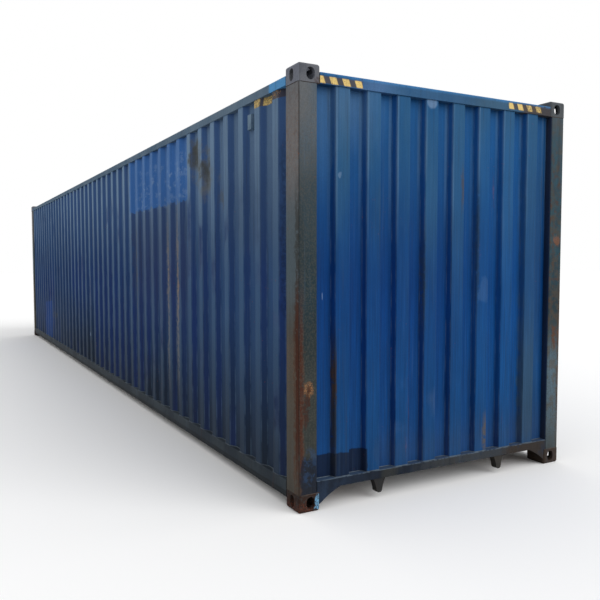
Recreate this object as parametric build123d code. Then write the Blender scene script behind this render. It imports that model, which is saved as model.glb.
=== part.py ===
from build123d import *
from math import floor, hypot, tan, atan2
import os

# A forty-foot high-cube freight container, in millimetres.
# +X points to the closed front end, +Y to the container's left side, +Z up.
# The origin is on the ground, under the middle of the box.

# Overall size
LENGTH = 12192.0
WIDTH = 2438.0
HEIGHT = 2896.0

# Corner fittings
FITTING_LENGTH = 178.0
FITTING_WIDTH = 162.0
FITTING_HEIGHT = 118.0
FITTING_PLATE = 22.0
FITTING_END_WALL = 30.0
FITTING_SIDE_WALL = 28.0
FITTING_BACK_WALL = 10.0
FITTING_BEVEL = 9.0
LOCK_HOLE_LENGTH = 124.0
LOCK_HOLE_WIDTH = 63.5
LOCK_HOLE_FROM_END = 103.5
LOCK_HOLE_FROM_SIDE = 89.5
LASH_HOLE_HEIGHT = 79.5
END_HOLE_WIDTH = 63.5
SIDE_HOLE_WIDTH = 51.0
SIDE_HOLE_FROM_END = 92.0
LASH_HOLE_FROM_PLATE = 63.0

# Corner posts, bent from plate
POST_PLATE = 6.0
POST_INSET = 3.0
POST_BEND = 10.0
POST_SIDE_LIP = 50.0
FRONT_POST_FACE = 142.0
FRONT_POST_LIP = 60.0
REAR_POST_FACE = 52.0
REAR_POST_LIP = 120.0

# Rails along the sides
RAIL_INSET = 3.0
TOP_RAIL_WIDTH = 60.0
TOP_RAIL_HEIGHT = 58.0
TOP_RAIL_WALL = 4.0
ROOF_SEAT_DROP = 50.0
BOTTOM_RAIL_CLEARANCE = 60.0
BOTTOM_RAIL_HEIGHT = 116.0
BOTTOM_RAIL_PLATE = 4.5
BOTTOM_RAIL_FLANGE = 50.0
BOTTOM_RAIL_FOOT = 40.0
RAIL_BEND = 5.0

# Front end frame
END_RAIL_DEPTH = 60.0
FRONT_SILL_CLEARANCE = 140.0
FRONT_SILL_HEIGHT = 58.0
END_RAIL_WALL = 4.0
GUSSET_LENGTH = 165.0
GUSSET_FOOT = 42.0
GUSSET_PLATE = 12.0
GUSSET_INSET = 2.0
GUSSET_SAG = 8.0

# Gooseneck tunnel under the front
TUNNEL_WIDTH = 1029.0
TUNNEL_LENGTH = 3300.0
TUNNEL_PLATE = 4.0
TUNNEL_RAIL_WIDTH = 60.0
TUNNEL_RAIL_WALL = 4.0
TUNNEL_RAIL_SETBACK = 260.0
BOW_HEIGHT = 21.0
BOW_WIDTH = 80.0
LUG_WIDTH = 106.0
LUG_TIP_WIDTH = 44.0
LUG_TIP_CLEARANCE = 38.0
LUG_TIP_ROUND = 18.0
LUG_SAG = 7.0
LUG_INSET = 8.0

# Side walls: upright trapezoid ribs
SIDE_SHEET = 1.6
SIDE_INSET = 8.0
SIDE_RIB_PITCH = 281.0
SIDE_RIB_OUTER = 72.0
SIDE_RIB_INNER = 70.0
SIDE_RIB_DEPTH = 36.0
SIDE_END_FLAT = 40.0

# Front wall: steeper and wider ribs
FRONT_SHEET = 2.0
FRONT_INSET = 12.0
FRONT_RIB_PITCH = 250.0
FRONT_RIB_OUTER = 110.0
FRONT_RIB_INNER = 104.0
FRONT_RIB_DEPTH = 45.6
FRONT_END_FLAT = 60.0

# Roof: pressed ribs across the width
ROOF_SHEET = 2.0
ROOF_INSET = 7.0
ROOF_RIB_PITCH = 209.0
ROOF_RIB_WIDTH = 118.0
ROOF_RIB_HEIGHT = 20.0
ROOF_RIB_RUN = 13.5
ROOF_RIB_MARGIN = 62.0
ROOF_END_FLAT = 50.0
ROOF_END_PLATE = 4.0

# Floor and what carries it
FLOOR_BOARD = 28.0
FLOOR_STEP = 3.0
CROSS_MEMBER_PLATE = 4.0
CROSS_MEMBER_FLANGE = 45.0
CROSS_MEMBER_PITCH = 300.0
BEAM_END_GAP = 3.0

# Rear door frame
DOOR_SILL_CLEARANCE = 15.0
DOOR_FRAME_DEPTH = 112.0
DOOR_FRAME_WALL = 5.0

# Door leaves
DOOR_RECESS = 62.0
DOOR_DEPTH = 50.0
DOOR_STILE = 90.0
DOOR_RAIL = 140.0
GASKET_WIDTH = 12.0
GASKET_DEPTH = 36.0
GASKET_INSET = 6.0
LEAF_GAP = 2.0
DOOR_SHEET = 2.0
DOOR_SHEET_INSET = 5.0
DOOR_RIB_PITCH = 402.0
DOOR_RIB_OUTER = 200.0
DOOR_RIB_INNER = 130.0
DOOR_RIB_DEPTH = 36.0
DOOR_END_FLAT = 90.0

# Door locking gear
BAR_DIAMETER = 34.0
BAR_FROM_FACE = 34.0
BAR_END_GAP = 8.0
INNER_BAR_OFFSET = 45.0
OUTER_BAR_OFFSET = 360.0
RUNNING_GAP = 0.3
CAM_REACH = 26.0
CAM_HEIGHT = 24.0
CAM_WIDTH = 22.0
KEEPER_WALL = 8.0
KEEPER_HEIGHT = 34.0
KEEPER_GAP = 3.0
BRACKET_HEIGHT = 60.0
BRACKET_WIDTH = 72.0
BRACKETS_PER_BAR = 4
BRACKET_END = 260.0
HANDLE_HEIGHT = 1150.0
HANDLE_STAGGER = 150.0
HANDLE_LENGTH = 300.0
HANDLE_DEPTH = 36.0
HANDLE_PLATE = 10.0
HUB_WALL = 8.0
CATCH_WIDTH = 60.0
CATCH_HEIGHT = 80.0

# Door hinges
HINGES_PER_SIDE = 4
HINGE_END = 300.0
HINGE_HEIGHT = 90.0
HINGE_BARREL = 28.0
HINGE_BLADE = 10.0
HINGE_REACH = 84.0

# Ventilator hoods
VENT_HEIGHT = 117.0
VENT_DEPTH = 26.0
VENT_DROP = 70.0
VENT_TAPER = 10.0
VENT_BAY = 1

# Worked-out levels and planes
HALF_LENGTH = LENGTH / 2
HALF_WIDTH = WIDTH / 2
FITTING_UNDERSIDE = HEIGHT - FITTING_HEIGHT
BAY_HALF = HALF_LENGTH - FITTING_LENGTH
END_HALF = HALF_WIDTH - FITTING_WIDTH
FRONT_HALF = HALF_WIDTH - FRONT_POST_FACE
ROOF_SEAT = HEIGHT - ROOF_SEAT_DROP
TOP_RAIL_BOTTOM = ROOF_SEAT - TOP_RAIL_HEIGHT
BOTTOM_RAIL_TOP = BOTTOM_RAIL_CLEARANCE + BOTTOM_RAIL_HEIGHT
FRONT_SILL_TOP = FRONT_SILL_CLEARANCE + FRONT_SILL_HEIGHT
FRONT_FACE = HALF_LENGTH - POST_INSET
FRONT_RAIL_BACK = FRONT_FACE - END_RAIL_DEPTH
SIDE_FACE = HALF_WIDTH - RAIL_INSET
FLOOR_TOP = BOTTOM_RAIL_TOP - FLOOR_STEP
FLOOR_UNDERSIDE = FLOOR_TOP - FLOOR_BOARD
BEAM_BOTTOM = BOTTOM_RAIL_CLEARANCE + BOTTOM_RAIL_PLATE
BEAM_HEIGHT = FLOOR_UNDERSIDE - BEAM_BOTTOM
FLOOR_HALF_WIDTH = SIDE_FACE - BOTTOM_RAIL_FLANGE
BEAM_HALF = SIDE_FACE - BOTTOM_RAIL_PLATE - BEAM_END_GAP
TUNNEL_HALF = TUNNEL_WIDTH / 2
TUNNEL_END = HALF_LENGTH - TUNNEL_LENGTH
REAR_FACE = POST_INSET - HALF_LENGTH
DOOR_FRAME_BACK = REAR_FACE + DOOR_FRAME_DEPTH
DOOR_FACE = DOOR_RECESS - HALF_LENGTH
DOOR_JAMB = HALF_WIDTH - REAR_POST_FACE
LEAF_OUTER = DOOR_JAMB - GASKET_WIDTH
LEAF_INNER = LEAF_GAP / 2 + GASKET_WIDTH
LEAF_WIDTH = LEAF_OUTER - LEAF_INNER
LEAF_MIDDLE = (LEAF_OUTER + LEAF_INNER) / 2
LEAF_BOTTOM = FITTING_HEIGHT + GASKET_WIDTH
LEAF_TOP = FITTING_UNDERSIDE - GASKET_WIDTH
LEAF_HEIGHT = LEAF_TOP - LEAF_BOTTOM
DOOR_MIDDLE = (FITTING_HEIGHT + FITTING_UNDERSIDE) / 2
BAR_RADIUS = BAR_DIAMETER / 2
BAR_AXIS = DOOR_FACE - BAR_FROM_FACE


def prism_x(section, start, end):
    """Runs a section drawn in Y and Z from one X to another."""
    return extrude(Plane.YZ.offset(start) * section, end - start)


def prism_y(section, start, end):
    """Runs a section drawn in X and Z from one Y to another."""
    return extrude(Plane.XZ.offset(-start) * section, start - end)


def prism_z(section, start, end):
    """Runs a section drawn in X and Y from one Z to another."""
    return extrude(Plane.XY.offset(start) * section, end - start)


def left_of(part):
    """Gives the left-hand copy of a right-hand piece."""
    return mirror(part, about=Plane.XZ)


def front_of(part):
    """Gives the front copy of a rear piece."""
    return mirror(part, about=Plane.YZ)


def span_rectangle(low_x, high_x, low_y, high_y):
    """Draws a rectangle between two corners."""
    middle = ((low_x + high_x) / 2, (low_y + high_y) / 2)
    return Pos(*middle) * Rectangle(high_x - low_x, high_y - low_y)


def tube_section(width, height, wall):
    """Draws a square-cornered hollow tube."""
    return Rectangle(width, height) - Rectangle(width - 2 * wall, height - 2 * wall)


def bent_plate(points, plate, bend):
    """Draws a plate of even thickness folded along its middle line."""
    return trace(FilletPolyline(*points, radius=bend), plate)


def rib_starts(span, pitch, inner, end_flat):
    """Lists where the ribs of a corrugated sheet start, measured from the sheet's middle."""
    count = floor((span + inner - 2 * end_flat) / pitch)
    first = -(count * pitch - inner) / 2
    return [first + index * pitch for index in range(count)]


def corrugated_section(span, pitch, outer, inner, depth, sheet, end_flat):
    """Draws a corrugated sheet along X, with its outer flats on Y = 0 and its depth along +Y."""
    run = (pitch - outer - inner) / 2
    shift = sheet * tan(atan2(depth, run) / 2)
    outside = [(-span / 2, depth)]
    inside = [(-span / 2, depth + sheet)]
    for start in rib_starts(span, pitch, inner, end_flat):
        crest = start + run
        fall = crest + outer
        outside += [(start, depth), (crest, 0), (fall, 0), (fall + run, depth)]
        inside += [(start + shift, depth + sheet), (crest + shift, sheet)]
        inside += [(fall - shift, sheet), (fall + run - shift, depth + sheet)]
    outside.append((span / 2, depth))
    inside.append((span / 2, depth + sheet))
    return make_face(Polyline(*outside, *reversed(inside), close=True).edges())


def corner_fitting():
    """Casts the rear right bottom fitting: a hollow block, bevelled at its outer corner, with three holes."""
    block = Box(FITTING_LENGTH, FITTING_WIDTH, FITTING_HEIGHT, align=Align.MIN)
    outer_edges = block.edges().sort_by_distance(Vertex(0, 0, 0))[:3]
    block = chamfer(outer_edges, FITTING_BEVEL)
    cavity = Pos(FITTING_END_WALL, FITTING_SIDE_WALL, FITTING_PLATE) * Box(
        FITTING_LENGTH - FITTING_END_WALL - FITTING_BACK_WALL,
        FITTING_WIDTH - FITTING_SIDE_WALL - FITTING_BACK_WALL,
        FITTING_HEIGHT - FITTING_PLATE - FITTING_BACK_WALL,
        align=Align.MIN,
    )
    lock_slot = SlotOverall(LOCK_HOLE_LENGTH, LOCK_HOLE_WIDTH)
    end_slot = SlotOverall(LASH_HOLE_HEIGHT, END_HOLE_WIDTH, rotation=90)
    side_slot = SlotOverall(LASH_HOLE_HEIGHT, SIDE_HOLE_WIDTH, rotation=90)
    lock_hole = prism_z(Pos(LOCK_HOLE_FROM_END, LOCK_HOLE_FROM_SIDE) * lock_slot, 0, FITTING_PLATE)
    end_hole = prism_x(Pos(LOCK_HOLE_FROM_SIDE, LASH_HOLE_FROM_PLATE) * end_slot, 0, FITTING_END_WALL)
    side_hole = prism_y(Pos(SIDE_HOLE_FROM_END, LASH_HOLE_FROM_PLATE) * side_slot, 0, FITTING_SIDE_WALL)
    casting = block - cavity - lock_hole - end_hole - side_hole
    return Pos(-HALF_LENGTH, -HALF_WIDTH, 0) * casting


def fitting_pair(front, top):
    """Places the right and left fittings of one end at one level."""
    casting = corner_fitting()
    if top:
        casting = mirror(casting, about=Plane.XY.offset(HEIGHT / 2))
    if front:
        casting = front_of(casting)
    return [casting, left_of(casting)]


def corner_post(face, lip):
    """Folds a right front post: an end face, a side face and a lip for each wall."""
    half = POST_PLATE / 2
    end_x = FRONT_FACE - half
    side_y = POST_INSET - HALF_WIDTH + half
    lip_y = face - HALF_WIDTH - half
    lip_x = BAY_HALF + half
    points = [
        (FRONT_FACE - lip, lip_y),
        (end_x, lip_y),
        (end_x, side_y),
        (lip_x, side_y),
        (lip_x, POST_INSET - HALF_WIDTH + POST_SIDE_LIP),
    ]
    return prism_z(bent_plate(points, POST_PLATE, POST_BEND), FITTING_HEIGHT, FITTING_UNDERSIDE)


def top_side_rail():
    """Runs the right top rail, a square tube between the top fittings."""
    middle = Pos(TOP_RAIL_WIDTH / 2 - SIDE_FACE, ROOF_SEAT - TOP_RAIL_HEIGHT / 2)
    section = middle * tube_section(TOP_RAIL_WIDTH, TOP_RAIL_HEIGHT, TOP_RAIL_WALL)
    return prism_x(section, -BAY_HALF, BAY_HALF)


def bottom_side_rail():
    """Runs the right bottom rail, a channel that opens inwards between the bottom fittings."""
    half = BOTTOM_RAIL_PLATE / 2
    web = half - SIDE_FACE
    points = [
        (BOTTOM_RAIL_FOOT - SIDE_FACE, BOTTOM_RAIL_CLEARANCE + half),
        (web, BOTTOM_RAIL_CLEARANCE + half),
        (web, BOTTOM_RAIL_TOP - half),
        (BOTTOM_RAIL_FLANGE - SIDE_FACE, BOTTOM_RAIL_TOP - half),
    ]
    return prism_x(bent_plate(points, BOTTOM_RAIL_PLATE, RAIL_BEND), -BAY_HALF, BAY_HALF)


def front_rail(half, bottom, top):
    """Runs a tube across the front end, between the posts or the top fittings."""
    middle = Pos(FRONT_FACE - END_RAIL_DEPTH / 2, (bottom + top) / 2)
    section = middle * tube_section(END_RAIL_DEPTH, top - bottom, END_RAIL_WALL)
    return prism_y(section, -half, half)


def front_gusset():
    """Cuts the right plate that braces the front sill off the bottom fitting."""
    foot = (-END_HALF, GUSSET_FOOT)
    toe = (GUSSET_LENGTH - END_HALF, FRONT_SILL_CLEARANCE)
    outline = Polyline(
        foot,
        (-END_HALF, FITTING_HEIGHT),
        (-FRONT_HALF, FITTING_HEIGHT),
        (-FRONT_HALF, FRONT_SILL_CLEARANCE),
        toe,
    )
    outline += SagittaArc(toe, foot, -GUSSET_SAG)
    front = FRONT_FACE - GUSSET_INSET
    return prism_x(make_face(outline), front - GUSSET_PLATE, front)


def gooseneck_lug():
    """Shapes the right guide lug under the front sill, beside the tunnel's mouth."""
    middle = -(TUNNEL_HALF + LUG_WIDTH / 2)
    right_root = (middle - LUG_WIDTH / 2, FRONT_SILL_CLEARANCE)
    left_root = (middle + LUG_WIDTH / 2, FRONT_SILL_CLEARANCE)
    left_tip = (middle + LUG_TIP_WIDTH / 2, LUG_TIP_CLEARANCE)
    right_tip = (middle - LUG_TIP_WIDTH / 2, LUG_TIP_CLEARANCE)
    outline = Line(right_root, left_root) + SagittaArc(left_root, left_tip, -LUG_SAG)
    outline += Line(left_tip, right_tip) + SagittaArc(right_tip, right_root, -LUG_SAG)
    face = make_face(outline)
    tip = face.vertices().sort_by(Axis.Y)[:2]
    return prism_x(fillet(tip, LUG_TIP_ROUND), FRONT_RAIL_BACK, FRONT_FACE - LUG_INSET)


def side_wall():
    """Runs the right side wall between the posts, from the bottom rail to the top rail."""
    section = corrugated_section(
        2 * BAY_HALF, SIDE_RIB_PITCH, SIDE_RIB_OUTER, SIDE_RIB_INNER,
        SIDE_RIB_DEPTH, SIDE_SHEET, SIDE_END_FLAT,
    )
    placed = Pos(0, SIDE_INSET - HALF_WIDTH) * section
    return prism_z(placed, BOTTOM_RAIL_TOP, TOP_RAIL_BOTTOM)


def front_wall():
    """Runs the front wall between the posts, from the sill to the header."""
    section = corrugated_section(
        2 * FRONT_HALF, FRONT_RIB_PITCH, FRONT_RIB_OUTER, FRONT_RIB_INNER,
        FRONT_RIB_DEPTH, FRONT_SHEET, FRONT_END_FLAT,
    )
    placed = Pos(HALF_LENGTH - FRONT_INSET, 0) * Rot(0, 0, 90) * section
    return prism_z(placed, FRONT_SILL_TOP, FITTING_UNDERSIDE)


def roof_panel():
    """Presses the roof sheet: raised ribs with closed ends across a flat border."""
    width = 2 * (HALF_WIDTH - ROOF_INSET)
    rib_length = width - 2 * ROOF_RIB_MARGIN
    slant = hypot(ROOF_RIB_RUN, ROOF_RIB_HEIGHT)
    narrowing = 2 * ROOF_SHEET * (slant - ROOF_RIB_RUN) / ROOF_RIB_HEIGHT

    def rib(bottom, inset):
        base = Rectangle(ROOF_RIB_WIDTH - inset, rib_length - inset)
        crown = Rectangle(
            ROOF_RIB_WIDTH - inset - 2 * ROOF_RIB_RUN,
            rib_length - inset - 2 * ROOF_RIB_RUN,
        )
        return loft([Pos(0, 0, bottom) * base, Pos(0, 0, bottom + ROOF_RIB_HEIGHT) * crown])

    gap = ROOF_RIB_PITCH - ROOF_RIB_WIDTH
    starts = rib_starts(2 * BAY_HALF, ROOF_RIB_PITCH, gap, ROOF_END_FLAT)
    middles = [start + ROOF_RIB_WIDTH / 2 for start in starts]
    sheet = prism_z(Rectangle(2 * BAY_HALF, width), ROOF_SEAT, ROOF_SEAT + ROOF_SHEET)
    raised = rib(ROOF_SEAT + ROOF_SHEET, 0)
    hollow = rib(ROOF_SEAT, narrowing)
    sheet += [Pos(middle, 0, 0) * raised for middle in middles]
    sheet -= [Pos(middle, 0, 0) * hollow for middle in middles]
    return sheet


def roof_end_plate():
    """Lays the rear flat plate between the roof sheet and the end frame."""
    outline = span_rectangle(REAR_FACE, -BAY_HALF, -END_HALF, END_HALF)
    return prism_z(outline, ROOF_SEAT, ROOF_SEAT + ROOF_END_PLATE)


def floor_deck():
    """Lays the floor boards between the side rails."""
    outline = span_rectangle(DOOR_FRAME_BACK, FRONT_RAIL_BACK, -FLOOR_HALF_WIDTH, FLOOR_HALF_WIDTH)
    return prism_z(outline, FLOOR_UNDERSIDE, FLOOR_TOP)


def beam_section():
    """Draws the channel of a cross member, with its web at X = 0 and its flanges forward."""
    outside = span_rectangle(0, CROSS_MEMBER_FLANGE, BEAM_BOTTOM, FLOOR_UNDERSIDE)
    hollow = span_rectangle(
        CROSS_MEMBER_PLATE, CROSS_MEMBER_FLANGE,
        BEAM_BOTTOM + CROSS_MEMBER_PLATE, FLOOR_UNDERSIDE - CROSS_MEMBER_PLATE,
    )
    return outside - hollow


def beam_places(start, end):
    """Spaces cross members evenly between two X places, both included."""
    gaps = max(1, round((end - start) / CROSS_MEMBER_PITCH))
    return [start + (end - start) * index / gaps for index in range(gaps + 1)]


def cross_members():
    """Sets the full-width members from the rear fittings to the tunnel's end."""
    beam = prism_y(beam_section(), -BEAM_HALF, BEAM_HALF)
    places = beam_places(-BAY_HALF, TUNNEL_END - CROSS_MEMBER_FLANGE)
    return [Pos(place, 0, 0) * beam for place in places]


def outriggers():
    """Sets the right short members beside the tunnel."""
    beam = prism_y(beam_section(), -BEAM_HALF, -TUNNEL_HALF - TUNNEL_RAIL_WIDTH)
    first = TUNNEL_END + CROSS_MEMBER_PITCH
    places = beam_places(first, FRONT_RAIL_BACK - CROSS_MEMBER_PITCH)
    return [Pos(place, 0, 0) * beam for place in places]


def tunnel_rail():
    """Runs the right side rail of the tunnel, from behind the front sill to the first full member."""
    middle = Pos(-TUNNEL_HALF - TUNNEL_RAIL_WIDTH / 2, BEAM_BOTTOM + BEAM_HEIGHT / 2)
    section = middle * tube_section(TUNNEL_RAIL_WIDTH, BEAM_HEIGHT, TUNNEL_RAIL_WALL)
    return prism_x(section, TUNNEL_END, FRONT_RAIL_BACK - TUNNEL_RAIL_SETBACK)


def tunnel_plate():
    """Lays the plate that closes the top of the tunnel."""
    top = FLOOR_UNDERSIDE - BOW_HEIGHT
    outline = span_rectangle(TUNNEL_END, FRONT_RAIL_BACK, -TUNNEL_HALF, TUNNEL_HALF)
    return prism_z(outline, top - TUNNEL_PLATE, top)


def tunnel_bows():
    """Sets the flat bars between the tunnel plate and the floor."""
    first = TUNNEL_END + CROSS_MEMBER_PITCH
    outline = span_rectangle(0, BOW_WIDTH, -TUNNEL_HALF, TUNNEL_HALF)
    bow = prism_z(outline, FLOOR_UNDERSIDE - BOW_HEIGHT, FLOOR_UNDERSIDE)
    places = beam_places(first, FRONT_RAIL_BACK - CROSS_MEMBER_PITCH)
    return [Pos(place, 0, 0) * bow for place in places]


def door_frame_rail(bottom, top):
    """Runs a tube across the rear end, between the fittings."""
    middle = Pos(REAR_FACE + DOOR_FRAME_DEPTH / 2, (bottom + top) / 2)
    section = middle * tube_section(DOOR_FRAME_DEPTH, top - bottom, DOOR_FRAME_WALL)
    return prism_y(section, -END_HALF, END_HALF)


def leaf_ring(width, height, border_y, border_z):
    """Draws a rectangular ring around the middle of the right door leaf."""
    ring = Rectangle(width, height) - Rectangle(width - 2 * border_y, height - 2 * border_z)
    return Pos(-LEAF_MIDDLE, DOOR_MIDDLE) * ring


def door_frame():
    """Frames the right door leaf with stiles and rails."""
    ring = leaf_ring(LEAF_WIDTH, LEAF_HEIGHT, DOOR_STILE, DOOR_RAIL)
    return prism_x(ring, DOOR_FACE, DOOR_FACE + DOOR_DEPTH)


def door_panel():
    """Fills the right door leaf with an upright-ribbed sheet."""
    section = corrugated_section(
        LEAF_WIDTH - 2 * DOOR_STILE, DOOR_RIB_PITCH, DOOR_RIB_OUTER, DOOR_RIB_INNER,
        DOOR_RIB_DEPTH, DOOR_SHEET, DOOR_END_FLAT,
    )
    placed = Pos(DOOR_FACE + DOOR_SHEET_INSET, -LEAF_MIDDLE) * Rot(0, 0, -90) * section
    return prism_z(placed, LEAF_BOTTOM + DOOR_RAIL, LEAF_TOP - DOOR_RAIL)


def door_gasket():
    """Rings the right door leaf with its seal."""
    width = LEAF_WIDTH + 2 * GASKET_WIDTH
    height = LEAF_HEIGHT + 2 * GASKET_WIDTH
    ring = leaf_ring(width, height, GASKET_WIDTH, GASKET_WIDTH)
    start = DOOR_FACE + GASKET_INSET
    return prism_x(ring, start, start + GASKET_DEPTH)


def bar_places():
    """Lists the Y places of the right door's two locking bars."""
    return [-(LEAF_INNER + INNER_BAR_OFFSET), -(LEAF_OUTER - OUTER_BAR_OFFSET)]


def locking_bar(y):
    """Makes one upright locking bar, with a cam at each end."""
    bottom = FITTING_HEIGHT + BAR_END_GAP
    top = FITTING_UNDERSIDE - BAR_END_GAP
    bar = prism_z(Circle(BAR_RADIUS), bottom, top)
    lobe = span_rectangle(-CAM_WIDTH / 2, CAM_WIDTH / 2, -CAM_REACH - CAM_WIDTH / 2, 0)
    cams = [prism_z(lobe, bottom, bottom + CAM_HEIGHT), prism_z(lobe, top - CAM_HEIGHT, top)]
    return Pos(BAR_AXIS, y, 0) * (bar + cams)


def cam_keepers(y):
    """Makes the two U-shaped keepers that catch one bar's cams, on the sill and under the header."""
    low_y = y - CAM_REACH - CAM_WIDTH / 2 - KEEPER_GAP
    high_y = y - BAR_RADIUS - KEEPER_GAP
    slot = CAM_WIDTH / 2 + KEEPER_GAP
    middle = Pos(BAR_AXIS, (low_y + high_y - KEEPER_WALL) / 2)
    length = high_y - low_y
    outside = Rectangle(2 * (slot + KEEPER_WALL), length + KEEPER_WALL)
    inside = Pos(0, KEEPER_WALL / 2) * Rectangle(2 * slot, length)
    section = middle * (outside - inside)
    low = prism_z(section, FITTING_HEIGHT, FITTING_HEIGHT + KEEPER_HEIGHT)
    high = prism_z(section, FITTING_UNDERSIDE - KEEPER_HEIGHT, FITTING_UNDERSIDE)
    return [low, high]


def bar_brackets(y):
    """Makes the bearing blocks that hold one bar against the door's face."""
    front = BAR_AXIS - BAR_RADIUS / 2
    seat = BAR_RADIUS + RUNNING_GAP
    block = span_rectangle(front, DOOR_FACE, y - BRACKET_WIDTH / 2, y + BRACKET_WIDTH / 2)
    section = block - span_rectangle(front, BAR_AXIS + seat, y - seat, y + seat)
    first = LEAF_BOTTOM + BRACKET_END
    step = (LEAF_HEIGHT - 2 * BRACKET_END) / (BRACKETS_PER_BAR - 1)
    levels = [first + index * step for index in range(BRACKETS_PER_BAR)]
    return [prism_z(section, level - BRACKET_HEIGHT / 2, level + BRACKET_HEIGHT / 2) for level in levels]


def door_handle(y, height):
    """Makes one closed handle: a square hub on the bar, a flat lever and the catch that holds it."""
    bore = 2 * (BAR_RADIUS + RUNNING_GAP)
    outside = bore + 2 * HUB_WALL
    hub = Rectangle(outside, outside) - Rectangle(bore, bore)
    hub = prism_z(Pos(BAR_AXIS, y) * hub, height - HANDLE_DEPTH / 2, height + HANDLE_DEPTH / 2)
    inner = y - BAR_RADIUS - RUNNING_GAP - HUB_WALL / 2
    lever_face = Pos((inner + y - HANDLE_LENGTH) / 2, height) * Rectangle(
        HANDLE_LENGTH + inner - y, HANDLE_DEPTH
    )
    lever = prism_x(lever_face, BAR_AXIS - HANDLE_PLATE / 2, BAR_AXIS + HANDLE_PLATE / 2)
    catch_face = Pos(y - HANDLE_LENGTH + CATCH_WIDTH / 2, height) * Rectangle(CATCH_WIDTH, CATCH_HEIGHT)
    catch = prism_x(catch_face, BAR_AXIS + HANDLE_PLATE / 2, DOOR_FACE)
    return hub + lever + catch


def door_hinges():
    """Makes the right door's hinges: a barrel beside the jamb and a blade on the leaf."""
    barrel_x = DOOR_FACE - HINGE_BLADE - HINGE_BARREL / 2
    barrel_y = -(DOOR_JAMB - HINGE_BARREL / 2)
    barrel = Pos(barrel_x, barrel_y) * Circle(HINGE_BARREL / 2)
    ear = span_rectangle(
        barrel_x - HINGE_BLADE / 2, barrel_x + HINGE_BLADE / 2, -DOOR_JAMB, barrel_y
    )
    blade = span_rectangle(DOOR_FACE - HINGE_BLADE, DOOR_FACE, barrel_y, -(DOOR_JAMB - HINGE_REACH))
    web = span_rectangle(barrel_x, DOOR_FACE, barrel_y, barrel_y + HINGE_BARREL / 2)
    section = barrel + ear + blade + web
    first = LEAF_BOTTOM + HINGE_END
    step = (LEAF_HEIGHT - 2 * HINGE_END) / (HINGES_PER_SIDE - 1)
    levels = [first + index * step for index in range(HINGES_PER_SIDE)]
    return [prism_z(section, level - HINGE_HEIGHT / 2, level + HINGE_HEIGHT / 2) for level in levels]


def ventilator():
    """Shapes the right wall's ventilator hood, in the recess behind the second front rib."""
    starts = rib_starts(2 * BAY_HALF, SIDE_RIB_PITCH, SIDE_RIB_INNER, SIDE_END_FLAT)
    recess = starts[-1 - VENT_BAY] - SIDE_RIB_INNER / 2
    seat = SIDE_INSET + SIDE_RIB_DEPTH - HALF_WIDTH
    level = TOP_RAIL_BOTTOM - VENT_DROP - VENT_HEIGHT / 2
    base = Rectangle(SIDE_RIB_INNER, VENT_HEIGHT)
    lid = Rectangle(SIDE_RIB_INNER - VENT_TAPER, VENT_HEIGHT - VENT_TAPER)
    hood = loft([base, Pos(0, 0, VENT_DEPTH) * lid])
    return Plane((recess, seat, level), x_dir=(1, 0, 0), z_dir=(0, -1, 0)) * hood


def both_sides(pieces):
    """Gives right-hand solids and their left-hand copies together."""
    return pieces + [left_of(piece) for piece in pieces]


def container():
    """Builds every piece of the container and names it."""
    bars = bar_places()
    handle_levels = [HANDLE_HEIGHT, HANDLE_HEIGHT + HANDLE_STAGGER]
    keepers = [keeper for y in bars for keeper in cam_keepers(y)]
    brackets = [bracket for y in bars for bracket in bar_brackets(y)]
    handles = [door_handle(y, level) for y, level in zip(bars, handle_levels)]
    vent = ventilator()
    pieces = {
        "corner_fittings_front_top": fitting_pair(front=True, top=True),
        "corner_fittings_front_bottom": fitting_pair(front=True, top=False),
        "corner_fittings_rear_top": fitting_pair(front=False, top=True),
        "corner_fittings_rear_bottom": fitting_pair(front=False, top=False),
        "front_header": front_rail(END_HALF, FITTING_UNDERSIDE, ROOF_SEAT),
        "front_sill": front_rail(FRONT_HALF, FRONT_SILL_CLEARANCE, FRONT_SILL_TOP),
        "front_gussets": both_sides([front_gusset()]),
        "gooseneck_lugs": both_sides([gooseneck_lug()]),
        "front_wall": front_wall(),
        "roof_panel": roof_panel(),
        "roof_end_plate_front": front_of(roof_end_plate()),
        "roof_end_plate_rear": roof_end_plate(),
        "floor_deck": floor_deck(),
        "cross_members": cross_members(),
        "tunnel_plate": tunnel_plate(),
        "tunnel_bows": tunnel_bows(),
        "door_header": door_frame_rail(FITTING_UNDERSIDE, ROOF_SEAT),
        "door_sill": door_frame_rail(DOOR_SILL_CLEARANCE, FITTING_HEIGHT),
        "locking_bars": both_sides([locking_bar(y) for y in bars]),
        "cam_keepers": both_sides(keepers),
        "bar_brackets": both_sides(brackets),
        "door_handles": both_sides(handles),
        "door_gaskets": both_sides([door_gasket()]),
        "door_hinges": both_sides(door_hinges()),
        "ventilators": [vent, Rot(0, 0, 180) * vent],
    }
    handed = {
        "front_post": corner_post(FRONT_POST_FACE, FRONT_POST_LIP),
        "rear_post": front_of(corner_post(REAR_POST_FACE, REAR_POST_LIP)),
        "top_side_rail": top_side_rail(),
        "bottom_side_rail": bottom_side_rail(),
        "side_wall": side_wall(),
        "tunnel_rail": tunnel_rail(),
        "outriggers": outriggers(),
        "door_frame": door_frame(),
        "door_panel": door_panel(),
    }
    for name, piece in handed.items():
        copy = [left_of(each) for each in piece] if isinstance(piece, list) else left_of(piece)
        pieces[name + "_right"] = piece
        pieces[name + "_left"] = copy
    return pieces


os.makedirs("parts", exist_ok=True)
for node, piece in container().items():
    shape = Compound(children=piece) if isinstance(piece, list) else piece
    export_step(shape, f"parts/{node}.step")
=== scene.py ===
"""Dresses the freight container: worn paint with painted light and shade, rounded ribs, sealed seams, welds
and door bolts.

The frame is in metres. +X points to the closed front end, -Y to the right side that the
camera sees, +Z up, and the ground is at Z = 0.
"""

from __future__ import annotations

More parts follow.
